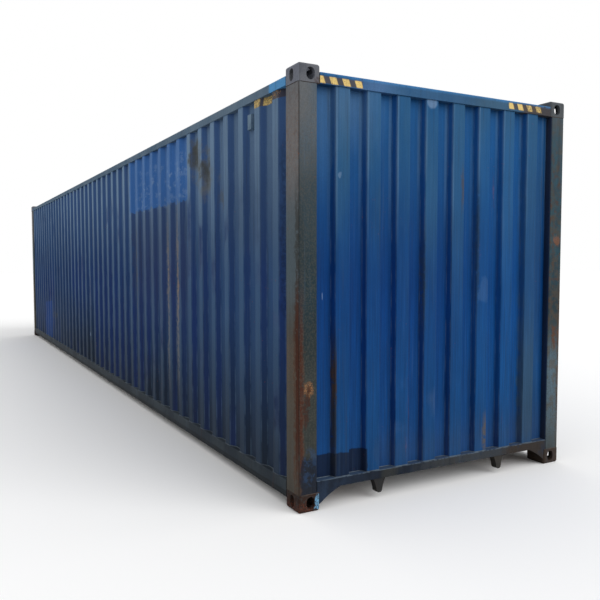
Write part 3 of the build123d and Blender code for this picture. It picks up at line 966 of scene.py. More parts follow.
def solid_boxes(node: bpy.types.Object) -> list[Box]:
    """Finds the low and high corners of each separate solid of a node.

    Args:
        node: A node of the frame.

    Returns:
        A pair of corners for each solid.
    """
    work = merged(node)
    boxes = [limits(solid) for solid in islands(work)]
    work.free()
    return sorted(boxes, key=lambda box: tuple(box[0]))


RIB_CORNERS = 4
BEND_STEPS = 3


@dataclass(frozen=True)
class RibRow:
    """The line of a ribbed sheet, seen from above, with the outer faces on its own Y = 0.

    outer and inner are the widths of the flats that stand out and stand back, and bend is the
    radius between them and the slopes.
    """

    pitch: float
    outer: float
    inner: float
    count: int
    bend: float = 0.008

    def first(self) -> float:
        """Tells where the first rib starts, measured from the row's middle."""
        return -(self.count * self.pitch - self.inner) / 2

    def values(self, span: float, depth: float) -> dict[str, Value]:
        """Gives the row's sizes for a tree's inputs.

        Args:
            span: The sheet's length.
            depth: How deep its ribs are.

        Returns:
            A value for each of the row's inputs.
        """
        return {
            "Span": span, "Pitch": self.pitch, "Outer": self.outer, "Inner": self.inner,
            "Depth": depth, "Count": self.count, "Bend": self.bend,
        }

    @staticmethod
    def inputs() -> dict[str, type]:
        """Names the inputs that a tree with a rib row takes."""
        labels = ("Span", "Pitch", "Outer", "Inner", "Depth", "Bend")
        sizes: dict[str, type] = {label: float for label in labels}
        return {**sizes, "Count": int}

    @staticmethod
    def path(graph: GeometryGraph) -> Socket:
        """Draws the row as a curve with rounded bends.

        Args:
            graph: The tree, with the row's inputs.

        Returns:
            The curve's socket.
        """
        size = graph.size
        count, pitch, outer, inner = size["Count"], size["Pitch"], size["Outer"], size["Inner"]
        slope = graph.times(graph.minus(pitch, outer, inner), 0.5)
        first = graph.times(graph.minus(graph.times(count, pitch), inner), -0.5)
        total = graph.plus(graph.times(count, RIB_CORNERS), 2)
        line = graph.step("GeometryNodeMeshLine", {"Count": total})

        step = graph.minus(graph.add("GeometryNodeInputIndex").outputs[0], 1)
        rib = graph.math("FLOOR", graph.math("DIVIDE", step, RIB_CORNERS))
        corner = graph.minus(step, graph.times(rib, RIB_CORNERS))
        choice = graph.add("GeometryNodeIndexSwitch", data_type="FLOAT")
        while len(choice.index_switch_items) < RIB_CORNERS:
            choice.index_switch_items.new()
        graph.feed(choice.inputs[0], corner)
        crest_end = graph.plus(slope, outer)
        for place, offset in enumerate((0.0, slope, crest_end, graph.plus(crest_end, slope))):
            graph.feed(choice.inputs[place + 1], offset)

        half = graph.times(size["Span"], 0.5)
        beyond = graph.times(graph.minus(rib, graph.clamped(rib, 0, graph.minus(count, 1))), size["Span"])
        x = graph.plus(first, graph.times(rib, pitch), choice.outputs[0], beyond)
        x = graph.clamped(x, graph.times(half, -1), half)
        from_middle = graph.math("ABSOLUTE", graph.minus(corner, (RIB_CORNERS - 1) / 2))
        at_recess = graph.math("GREATER_THAN", from_middle, 1.0)
        y = graph.times(at_recess, size["Depth"])
        bent = graph.step("GeometryNodeMeshToCurve", {"Mesh": graph.moved(line, graph.joined(x, y, 0.0))})
        return graph.step(
            "GeometryNodeFilletCurve",
            {"Curve": bent, "Radius": size["Bend"], "Count": BEND_STEPS, "Limit Radius": True},
            mode="POLY",
        )


DIMPLES = Cloud(1.9, 3.0, 0.55)
DIMPLE_EDGE: Span = (0.5, 0.75)
HELD_EDGE = 0.12


class RibbedSheet:
    """The tree that presses a wall: a rib row drawn upwards, with shallow dents."""

    def __init__(self) -> None:
        """Builds the tree."""
        sizes = {**RibRow.inputs(), "Low": float, "High": float, "Rows": int, "Dent": float, "Seed": float}
        graph = GeometryGraph("ribbed_sheet", sizes)
        size = graph.size
        row_line = graph.step("GeometryNodeSubdivideCurve", {"Curve": RibRow.path(graph), "Cuts": 1})
        columns = graph.step("GeometryNodeAttributeDomainSize", {"Geometry": row_line}, component="CURVE")
        grid = graph.step("GeometryNodeMeshGrid", {"Vertices X": columns, "Vertices Y": size["Rows"]})

        index = graph.add("GeometryNodeInputIndex").outputs[0]
        column = graph.math("FLOOR", graph.math("DIVIDE", index, size["Rows"]))
        row = graph.minus(index, graph.times(column, size["Rows"]))
        sample = graph.add("GeometryNodeSampleIndex", data_type="FLOAT_VECTOR")
        graph.feed(sample.inputs["Geometry"], row_line)
        graph.feed(sample.inputs["Value"], graph.add("GeometryNodeInputPosition").outputs[0])
        graph.feed(sample.inputs["Index"], column)
        x, y, _ = graph.split(sample.outputs[0])
        share = graph.math("DIVIDE", row, graph.minus(size["Rows"], 1))
        z = graph.plus(size["Low"], graph.times(share, graph.minus(size["High"], size["Low"])))

        dimple = graph.noise(graph.joined(x, size["Seed"], z), DIMPLES).outputs[0]
        free = graph.times(graph.ramp(share, 0.0, HELD_EDGE), graph.ramp(share, 1.0, 1.0 - HELD_EDGE))
        push = graph.times(graph.ramp(dimple, *DIMPLE_EDGE), free, size["Dent"])
        graph.close(graph.moved(grid, graph.joined(x, graph.plus(y, push), z)))
        self.graph = graph


SEALER_RIPPLE = Cloud(26.0)
SEALER_SWELL: Span = (0.7, 0.6)


class SeamBead:
    """The tree that runs a bead of sealer along the foot or head of a ribbed sheet."""

    def __init__(self) -> None:
        """Builds the tree."""
        graph = GeometryGraph("seam_bead", {**RibRow.inputs(), "Level": float, "Out": float, "Radius": float})
        path = RibRow.path(graph)
        x, y, _ = graph.split(graph.add("GeometryNodeInputPosition").outputs[0])
        outside = graph.minus(y, graph.size["Out"])
        lifted = graph.moved(path, graph.joined(x, outside, graph.size["Level"]))
        graph.close(graph.bead(lifted, SEALER_RIPPLE, SEALER_SWELL))
        self.graph = graph


WELD_RIPPLE = Cloud(70.0)
WELD_SWELL: Span = (0.65, 0.7)


class WeldBead:
    """The tree that lays a straight weld with a rippled back."""

    def __init__(self) -> None:
        """Builds the tree."""
        graph = GeometryGraph("weld_bead", {"Start": Vector, "End": Vector, "Radius": float, "Steps": int})
        line = graph.step(
            "GeometryNodeCurvePrimitiveLine", {"Start": graph.size["Start"], "End": graph.size["End"]}
        )
        fine = graph.step("GeometryNodeResampleCurve", {"Curve": line, "Count": graph.size["Steps"]})
        graph.close(graph.bead(fine, WELD_RIPPLE, WELD_SWELL))
        self.graph = graph


BOLT_SIDES = 6


class BoltRow:
    """The tree that sets a straight row of hexagon bolts with their heads along X."""

    def __init__(self) -> None:
        """Builds the tree."""
        sizes = {"Start": Vector, "End": Vector, "Count": int, "Radius": float, "Height": float}
        graph = GeometryGraph("bolt_row", sizes)
        size = graph.size
        places = graph.step(
            "GeometryNodeMeshLine",
            {"Count": size["Count"], "Start Location": size["Start"], "Offset": size["End"]},
            mode="END_POINTS",
        )
        head = graph.step(
            "GeometryNodeMeshCylinder",
            {"Vertices": BOLT_SIDES, "Radius": size["Radius"], "Depth": size["Height"]},
        )
        turned = graph.step("GeometryNodeTransform", {"Geometry": head, "Rotation": (0.0, pi / 2, 0.0)})
        bolts = graph.step("GeometryNodeInstanceOnPoints", {"Points": places, "Instance": turned})
        graph.close(bolts, smooth=False)
        self.graph = graph


# Side wall tones with painted light: the flats lighter towards the top as painted sky light and sheen, the
# foot darker as painted shade, and the slopes darker than the flats as painted shade.
SIDE_TONES_WITH_PAINTED_LIGHT: dict[str, Tones] = {
    "crest_tones": Tones(paint(42, 59, 80), paint(57, 89, 127), paint(112, 141, 172)),
    "slope_tones": Tones(paint(22, 37, 56), paint(32, 60, 106), paint(56, 87, 134)),
    "recess_tones": Tones(paint(32, 48, 70), paint(45, 77, 120), paint(95, 123, 156)),
}
# Front wall tones with painted light: lighter towards the top, and the slopes partly darkened as painted
# shade.
FRONT_TONES_WITH_PAINTED_LIGHT: dict[str, Tones] = {
    "crest_tones": Tones(paint(14, 65, 114), paint(5, 57, 111), paint(23, 76, 121)),
    "slope_tones": Tones(paint(4, 44, 98), paint(3, 49, 112), paint(20, 74, 134)),
    "recess_tones": Tones(paint(14, 64, 118), paint(2, 54, 112), paint(22, 77, 128)),
}

RUST_DEEP = paint(60, 34, 24)
RUST = paint(86, 56, 40)
TAN = paint(158, 132, 106)
SMEAR = paint(124, 124, 122)
OLIVE = paint(88, 88, 78)
DUST = paint(106, 107, 98)
# Pale scuff paint, also used for a painted highlight on a dent of the front wall.
SCUFF_AND_HIGHLIGHT = paint(140, 166, 196)
NAVY = paint(12, 22, 40)
AZURE = paint(88, 156, 212)

RIGHT: Span = (-1.3, 0.0)
LEFT: Span = (0.0, 1.3)
BLOT = Outline.ROUND


@dataclass(frozen=True)
class RibbedWall:
    """A wall of ribbed sheet with a bead of sealer along its foot.

    rows is how many points it has from foot to head, dent how deep its dents are, seam the
    sealer's radius, and seam_out how far the sealer stands outside the ribs' line.
    """

    row: RibRow
    sheet: float
    rows: int
    dent: float
    seam: float
    seam_out: float

    def values(self, span: float, depth: float, levels: Span) -> dict[str, Value]:
        """Gives the sizes of the wall and its sealer for the trees' inputs.

        Args:
            span: The wall's length.
            depth: How deep its ribs are.
            levels: The heights of its foot and its head.

        Returns:
            A value for each input but the material and the dents' seed.
        """
        low, high = levels
        return {
            **self.row.values(span, depth), "Low": low, "High": high, "Rows": self.rows, "Dent": self.dent,
            "Level": low + self.seam / 2, "Out": self.seam_out, "Radius": self.seam,
        }


@dataclass(frozen=True)
class SideWalls(RibbedWall):
    """The two long walls, with the sealer at their feet."""

    row: RibRow = RibRow(0.281, 0.072, 0.070, 42)
    sheet: float = 0.0016
    rows: int = 28
    dent: float = 0.006
    seam: float = 0.0035
    seam_out: float = 0.00175
    seeds: Span = (4.0, 9.0)

    def repaint(self) -> tuple[Patch, ...]:
        """Lists the right wall's repainted field, its scuffs and the film below it."""
        return (
            Patch(paint(20, 60, 100), (-6.3, -2.6), RIGHT, (1.4, 3.0), soft=1.0, fade=0.4, cover=0.46),
            Patch(paint(74, 98, 138), (-6.3, -1.8), RIGHT, (0.1, 0.9), soft=0.8, fade=0.25, cover=0.4),
            Patch(paint(38, 54, 76), (4.8, 5.95), RIGHT, (1.75, 2.9), soft=0.3, fade=0.3, cover=0.26),
            Patch(paint(52, 62, 94), (2.16, 3.95), RIGHT, (1.2, 2.22), ragged=0.05, fade=0.5, cover=0.45),
            Patch(
                paint(58, 112, 182), (2.1, 4.02), RIGHT, (2.21, 2.9),
                ragged=0.035, grain=16.0, cover=0.72, broken=0.3,
            ),
            Patch(SCUFF_AND_HIGHLIGHT, (2.2, 4.0), RIGHT, (2.24, 2.6), grain=3.4, broken=0.56, hairline=0.04, cover=0.38),
            Patch(SCUFF_AND_HIGHLIGHT, (2.2, 4.05), RIGHT, (2.2, 2.65), grain=4.0, broken=0.58, cover=0.24),
            Patch(paint(40, 82, 156), (-4.4, -3.6), RIGHT, (0.1, 0.9), ragged=0.12, grain=4.0, cover=0.5),
        )

    def stains(self) -> tuple[Patch, ...]:
        """Lists the right wall's stains, rust runs and scraped dent."""
        return (
            Patch(OLIVE, (-3.7, -2.9), RIGHT, (0.56, 0.74), BLOT, ragged=0.08, broken=0.45, cover=0.6),
            Patch(SCUFF_AND_HIGHLIGHT, (-0.3, -0.08), RIGHT, (0.53, 0.64), BLOT, broken=0.4, cover=0.7),
            Patch(SCUFF_AND_HIGHLIGHT, (0.78, 0.95), RIGHT, (0.56, 0.63), BLOT, ragged=0.02, broken=0.4, cover=0.6),
            Patch(OLIVE, (2.23, 2.37), RIGHT, (1.0, 1.95), ragged=0.02, fade=0.3, broken=0.42, cover=0.7),
            Patch(SMEAR, (3.34, 3.50), RIGHT, (0.5, 2.05), ragged=0.02, fade=0.3, broken=0.42, cover=0.5),
            Patch(SMEAR, (3.62, 3.78), RIGHT, (0.5, 2.1), ragged=0.02, fade=0.3, broken=0.42, cover=0.55),
            Patch(TAN, (3.35, 3.50), RIGHT, (1.2, 1.75), ragged=0.02, fade=0.2, broken=0.52, cover=0.45),
            Patch(TAN, (3.63, 3.78), RIGHT, (1.1, 1.8), ragged=0.02, fade=0.2, broken=0.5, cover=0.5),
            Patch(DUST, (4.00, 4.50), RIGHT, (2.30, 2.84), BLOT, ragged=0.09, broken=0.22, cover=0.75),
            Patch(DUST, (4.18, 4.76), RIGHT, (2.08, 2.66), BLOT, ragged=0.1, broken=0.24, cover=0.7),
            Patch(
                paint(58, 60, 56), (4.04, 4.30), RIGHT, (2.42, 2.76), BLOT,
                ragged=0.08, broken=0.36, cover=0.75,
            ),
            Patch(
                paint(58, 60, 56), (4.28, 4.56), RIGHT, (2.24, 2.58), BLOT,
                ragged=0.08, broken=0.36, cover=0.8,
            ),
            Patch(OLIVE, (4.64, 4.94), RIGHT, (2.02, 2.34), BLOT, ragged=0.08, broken=0.38, cover=0.5),
            Patch(NAVY, (5.82, 5.90), RIGHT, (1.2, 2.4), fade=0.3, broken=0.48, cover=0.4),
        )

    def finish(self, crest: float, recess: float) -> Finish:
        """Gives the side paint.

        Args:
            crest: How far the ribs' outer faces stand from the middle plane.
            recess: How far the inner faces stand from it.

        Returns:
            The paint.
        """
        head = (2.734, 2.792)
        return SheetPaint(
            name="side_wall_paint",
            wear=Wear(streaks=0.35, rust=0.3, dirt_and_shade=0.25, mottle=0.45, brush=0.16),
            patches=self.repaint() + self.stains(),
            bands=(
                HazardBand(
                    Direction.ALONG, (5.41, 5.672), head, RIGHT,
                    period=0.129, share=0.8, lean=-0.2, worn=0.46, start=5.415,
                ),
                HazardBand(
                    Direction.ALONG, (5.69, 5.92), head, RIGHT,
                    period=0.16, share=0.7, lean=-0.2, worn=0.58, start=5.70,
                    yellow=paint(196, 150, 84), black=paint(62, 54, 52),
                ),
            ),
            depth_axis=Direction.ACROSS,
            recess=recess,
            crest=crest,
            slope_tint=Tint(paint(26, 50, 112), 0.55, (2.1, 1.2), (1.1, 1.1, 0.5)),
            **SIDE_TONES_WITH_PAINTED_LIGHT,
        )

    def build(self, sheet: RibbedSheet, bead: SeamBead, sealer: bpy.types.Material) -> None:
        """Presses both walls and seals their feet.

        Args:
            sheet: The tree that presses walls.
            bead: The tree that runs sealer.
            sealer: The sealer's material.
        """
        low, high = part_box("side_wall_right")
        depth = high.y - low.y - self.sheet
        values = self.values(high.x - low.x, depth, (low.z, high.z))
        coated = {**values, "Material": self.finish(-low.y, -low.y - depth).build()}
        right, left = [
            sheet.graph.grow(f"side_wall_skin_{side}", {**coated, "Seed": seed}, self.sheet)
            for side, seed in zip(("right", "left"), self.seeds)
        ]
        seam = bead.graph.grow("side_wall_sealer", {**values, "Material": sealer})
        for mesh in (right, left, seam):
            mesh.transform(Matrix.Translation((0.0, low.y, 0.0)))
        placed("side_wall_skin_right", [right], "wall_paint", "side_wall_right")
        placed("side_wall_skin_left", [mirrored(left)], "wall_paint", "side_wall_left")
        placed("side_wall_sealer", [seam, mirrored(seam)], "wall_paint")


@dataclass(frozen=True)
class FrontWall(RibbedWall):
    """The closed end's ribbed wall, with the sealer at its foot."""

    row: RibRow = RibRow(0.250, 0.110, 0.104, 8)
    sheet: float = 0.002
    rows: int = 60
    dent: float = 0.004
    seam: float = 0.003
    seam_out: float = 0.001
    seed: float = 2.0

    def films_and_painted_light(self) -> tuple[Patch, ...]:
        """Lists the broad casts of colour, a broad patch of painted light towards +Y, and the touched-up
        foot.
        """
        return (
            # A broad patch of painted light: the wall lighter towards +Y.
            Patch(paint(12, 84, 146), None, (0.2, 1.2), (0.5, 2.6), soft=0.4, fade=0.3, cover=0.3),
            Patch(paint(92, 124, 154), None, (-1.1, -0.6), (2.5, 2.9), soft=0.2, fade=0.25, cover=0.36),
            Patch(paint(52, 92, 136), None, (-1.1, -0.95), (2.2, 2.9), fade=0.3, cover=0.6),
            Patch(
                paint(62, 78, 78), None, (0.80, 0.945), (0.2, 1.1),
                ragged=0.02, fade=0.35, broken=0.3, cover=0.42,
            ),
            Patch(
                paint(44, 70, 82), None, (0.80, 1.04), (0.3, 2.5),
                ragged=0.02, soft=0.03, fade=0.4, broken=0.3, cover=0.3,
            ),
            Patch(
                paint(66, 74, 80), None, (-0.6, 1.1), (0.19, 0.40),
                ragged=0.05, fade=0.14, broken=0.36, cover=0.16,
            ),
            Patch(
                paint(10, 18, 34), None, (-1.1, -0.668), (0.1, 0.358),
                ragged=0.008, soft=0.006, broken=0.2, cover=0.85,
            ),
        )

    def stains(self) -> tuple[Patch, ...]:
        """Lists the rust runs, dark streaks, pale chips and a painted highlight on a small dent."""
        return (
            Patch(
                paint(40, 42, 42), None, (-0.944, -0.922), (0.3, 1.1),
                ragged=0.004, soft=0.004, fade=0.25, broken=0.38, cover=0.8,
            ),
            Patch(
                paint(66, 49, 36), None, (-0.944, -0.924), (0.72, 0.98),
                ragged=0.004, soft=0.004, fade=0.12, broken=0.44, cover=0.66,
            ),
            Patch(
                paint(92, 82, 64), None, (0.40, 0.47), (0.2, 0.46),
                ragged=0.02, fade=0.08, broken=0.42, cover=0.7,
            ),
            Patch(
                paint(74, 64, 60), None, (0.155, 0.19), (2.05, 2.3),
                ragged=0.01, fade=0.1, broken=0.42, cover=0.6,
            ),
            Patch(
                paint(26, 44, 62), None, (0.312, 0.336), (1.35, 2.2),
                ragged=0.008, fade=0.3, broken=0.4, cover=0.7,
            ),
            Patch(
                paint(36, 50, 58), None, (-0.196, -0.172), (1.2, 1.8),
                ragged=0.01, fade=0.25, broken=0.42, cover=0.6,
            ),
            Patch(paint(64, 98, 142), None, (0.33, 0.43), (1.34, 1.54), BLOT, ragged=0.04, cover=0.3),
            Patch(SCUFF_AND_HIGHLIGHT, None, (-0.17, -0.085), (2.71, 2.82), BLOT, ragged=0.012, cover=0.36),
            # A painted highlight on a small dent, in the pale scuff colour.
            Patch(SCUFF_AND_HIGHLIGHT, None, (-0.913, -0.887), (2.188, 2.232), BLOT, ragged=0.012, cover=0.24),
            Patch(SCUFF_AND_HIGHLIGHT, None, (-1.012, -1.004), (1.39, 1.44), BLOT, ragged=0.003, cover=0.35),
        )

    def finish(self, crest: float, recess: float) -> Finish:
        """Gives the front paint.

        Args:
            crest: Where the ribs' outer faces are along X.
            recess: Where the inner faces are.

        Returns:
            The paint.
        """
        # Pale lines at the crest's edge and beside the slope, towards the top: worn paint and painted
        # highlights.
        lines = (((0.014, 0.030), 0.36), ((self.row.pitch - 0.024, self.row.pitch), 0.22))
        return SheetPaint(
            name="front_wall_paint",
            wear=Wear(streaks=0.28, rust=0.22, dirt_and_shade=0.06, mottle=0.5, brush=0.6),
            patches=self.films_and_painted_light() + self.stains(),
            depth_axis=Direction.ALONG,
            recess=recess,
            crest=crest,
            crest_tint=Tint(paint(52, 92, 120), 0.45, (0.7, 2.4)),
            edge_rub_and_highlight=EdgeRubAndHighlight(
                Direction.ACROSS, self.row.first(), self.row.pitch, lines, (1.6, 2.4), paint(104, 134, 164)
            ),
            **FRONT_TONES_WITH_PAINTED_LIGHT,
        )

    def build(self, sheet: RibbedSheet, bead: SeamBead, sealer: bpy.types.Material) -> None:
        """Presses the wall and seals its foot.

        Args:
            sheet: The tree that presses walls.
            bead: The tree that runs sealer.
            sealer: The sealer's material.
        """
        low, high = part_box("front_wall")
        depth = high.x - low.x - self.sheet
        values = self.values(high.y - low.y, depth, (low.z, high.z))
        coated = {**values, "Material": self.finish(high.x, high.x - depth).build(), "Seed": self.seed}
        wall = sheet.graph.grow("front_wall_skin", coated, self.sheet)
        seam = bead.graph.grow("front_wall_sealer", {**values, "Material": sealer})
        place = Matrix.Translation((high.x, 0.0, 0.0)) @ Matrix.Rotation(pi / 2, 4, "Z")
        for mesh in (wall, seam):
            mesh.transform(place)
        placed("front_wall_skin", [wall], "wall_paint", "front_wall")
        placed("front_wall_sealer", [seam], "wall_paint")


@dataclass(frozen=True)
class FrameWelds:
    """Welds where the posts meet the corner fittings.

    sink is how far they lie below the posts' faces, clear how far they keep from the corners,
    and spacing how long their steps are.
    """

    radius: float = 0.0032
    sink: float = 0.0012
    clear: float = 0.016
    spacing: float = 0.006

    def lines(self) -> list[tuple[Vector, Vector]]:
        """Lists the welds of the right front corner as start and end points."""
        low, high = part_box("front_post_right")
        end_face = high.x - self.sink
        side_face = low.y + self.sink
        welds = []
        for level in (low.z + self.radius / 3, high.z - self.radius / 3):
            welds.append((
                Vector((end_face, high.y + self.clear, level)),
                Vector((end_face, low.y + self.clear, level)),
            ))
            welds.append((
                Vector((low.x + self.clear / 2, side_face, level)),
                Vector((high.x - self.clear, side_face, level)),
            ))
        return welds

    def build(self, weld: WeldBead, metal: bpy.types.Material) -> None:
        """Lays the welds on all four corners.

        Args:
            weld: The tree that lays welds.
            metal: The painted weld's material.
        """
        right = []
        for start, end in self.lines():
            for way in (1.0, -1.0):
                turn = Vector((way, 1.0, 1.0))
                values = {
                    "Start": start * turn, "End": end * turn, "Radius": self.radius,
                    "Steps": int((end - start).length / self.spacing), "Material": metal,
                }
                right.append(weld.graph.grow("post_weld", values))
        placed("post_welds", right + [mirrored(mesh) for mesh in right], "frame_paint")


@dataclass(frozen=True)
class CornerCastings:
    """The eight corner fittings, with the rounded edges of a casting.

    steps is how many strips make half of a rounded edge. Edges bent by more than sharp stay
    crisp, faces that differ by less than flat are joined first, and slack is what counts as
    lying on a cut. Both angles are in radians.
    """

    radius: float = 0.018
    steps: int = 3
    sharp: float = 0.6
    flat: float = 0.02
    slack: float = 1e-6

    def free_box(self, vertices: list[bmesh.types.BMVert], middle: float) -> Box:
        """Finds the box whose edges are to be rounded.

        Args:
            vertices: A fitting's vertices.
            middle: The container's middle height.

        Returns:
            The fitting's low and high corners, moved away where it stands on its post.
        """
        low, high = limits(vertices)
        if low.z > middle:
            low.z -= 2 * self.radius
        else:
            high.z += 2 * self.radius
        return low, high

    def cut(self, work: bmesh.types.BMesh, low: Vector, high: Vector) -> None:
        """Cuts a fitting into strips beside its edges.

        Args:
            work: The joined mesh that it is in.
            low: The low corner of its free box.
            high: The high corner.
        """
        for axis, step in product(range(3), range(self.steps)):
            inset = self.radius * (1 - tan(step * pi / 4 / self.steps))
            way = Vector([float(axis == other) for other in range(3)])
            for place in (low[axis] + inset, high[axis] - inset):
                geometry = [*work.verts, *work.edges, *work.faces]
                bmesh.ops.bisect_plane(
                    work, geom=geometry, dist=self.slack, plane_co=way * place, plane_no=way
                )

    def bend(self, vertices: list[bmesh.types.BMVert], low: Vector, high: Vector) -> None:
        """Draws a fitting's vertices in to its rounded edges.

        Args:
            vertices: The fitting's vertices.
            low: The low corner of its free box.
            high: The high corner.
        """
        for vertex in vertices:
            inner = [
                min(max(value, least + self.radius), most - self.radius)
                for value, least, most in zip(vertex.co, low, high)
            ]
            reach = vertex.co - Vector(inner)
            if reach.length > self.radius:
                vertex.co -= reach * (1 - self.radius / reach.length)

    def cast(self, node: bpy.types.Object, middle: float) -> bpy.types.Mesh:
        """Makes one node's fittings with rounded edges.

        Args:
            node: The node, already dressed.
            middle: The container's middle height.

        Returns:
            The fittings' mesh.
        """
        work = merged(node)
        bmesh.ops.dissolve_limit(work, angle_limit=self.flat, verts=work.verts, edges=work.edges)
        boxes = [self.free_box(solid, middle) for solid in islands(work)]
        for low, high in boxes:
            self.cut(work, low, high)
        for solid, (low, high) in zip(islands(work), boxes):
            self.bend(solid, low, high)
        mesh = bpy.data.meshes.new(node.name)
        work.to_mesh(mesh)
        work.free()
        mesh.materials.append(node.data.materials[0])
        mesh.shade_smooth()
        mesh.set_sharp_from_angle(angle=self.sharp)
        holder = linked("casting", mesh)
        holder.modifiers.new("Flats", "WEIGHTED_NORMAL").keep_sharp = True
        return settled(holder)

    def build(self, nodes: dict[str, bpy.types.Object]) -> None:
        """Rounds the four nodes of fittings.

        Args:
            nodes: The frame's nodes by name, already dressed.
        """
        low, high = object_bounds()
        for name, node in nodes.items():
            if name.startswith("corner_fittings"):
                casting = self.cast(node, (low.z + high.z) / 2)
                placed(name.replace("fittings", "castings"), [casting], "fitting_steel", name)


@dataclass(frozen=True)
class DoorBolts:
    """The bolts through the locking bars' brackets and the hinges' blades.

    edge is how far a bolt keeps from the side of what it holds, and twice that from the ends.
    blade_share is how much of a hinge's depth its blade takes.
    """

    radius: float = 0.0065
    height: float = 0.005
    edge: float = 0.0095
    bracket_bolts: int = 2
    hinge_bolts: int = 3
    blade_share: float = 0.25

    def row(self, x: float, y: float, levels: Span, count: int) -> dict[str, Value]:
        """Gives the sizes of one upright row.

        Args:
            x: Where the bolts' face is.
            y: Where the row is across the door.
            levels: The lower and upper edges of what they hold.
            count: How many bolts it has.

        Returns:
            A value for each of the bolt tree's inputs but the material.
        """
        low, high = levels
        return {
            "Start": Vector((x, y, low + 2 * self.edge)), "End": Vector((x, y, high - 2 * self.edge)),
            "Count": count, "Radius": self.radius, "Height": self.height,
        }

    def build(self, nodes: dict[str, bpy.types.Object], bolts: BoltRow, metal: bpy.types.Material) -> None:
        """Bolts every bracket and hinge to the doors.

        Args:
            nodes: The frame's nodes by name.
            bolts: The tree that sets bolts.
            metal: The bolts' material.
        """
        rows = []
        for low, high in solid_boxes(nodes["bar_brackets"]):
            for y in (low.y + self.edge, high.y - self.edge):
                rows.append(self.row(low.x, y, (low.z, high.z), self.bracket_bolts))
        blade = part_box("door_frame_right")[0].x
        for low, high in solid_boxes(nodes["door_hinges"]):
            inner = high.y if abs(high.y) < abs(low.y) else low.y
            y = inner - 2 * self.edge if inner < 0 else inner + 2 * self.edge
            face = blade - (blade - low.x) * self.blade_share
            rows.append(self.row(face, y, (low.z, high.z), self.hinge_bolts))
        meshes = [bolts.graph.grow("door_bolts", {**row, "Material": metal}) for row in rows]
        placed("door_bolts", meshes, "zinc_gear")


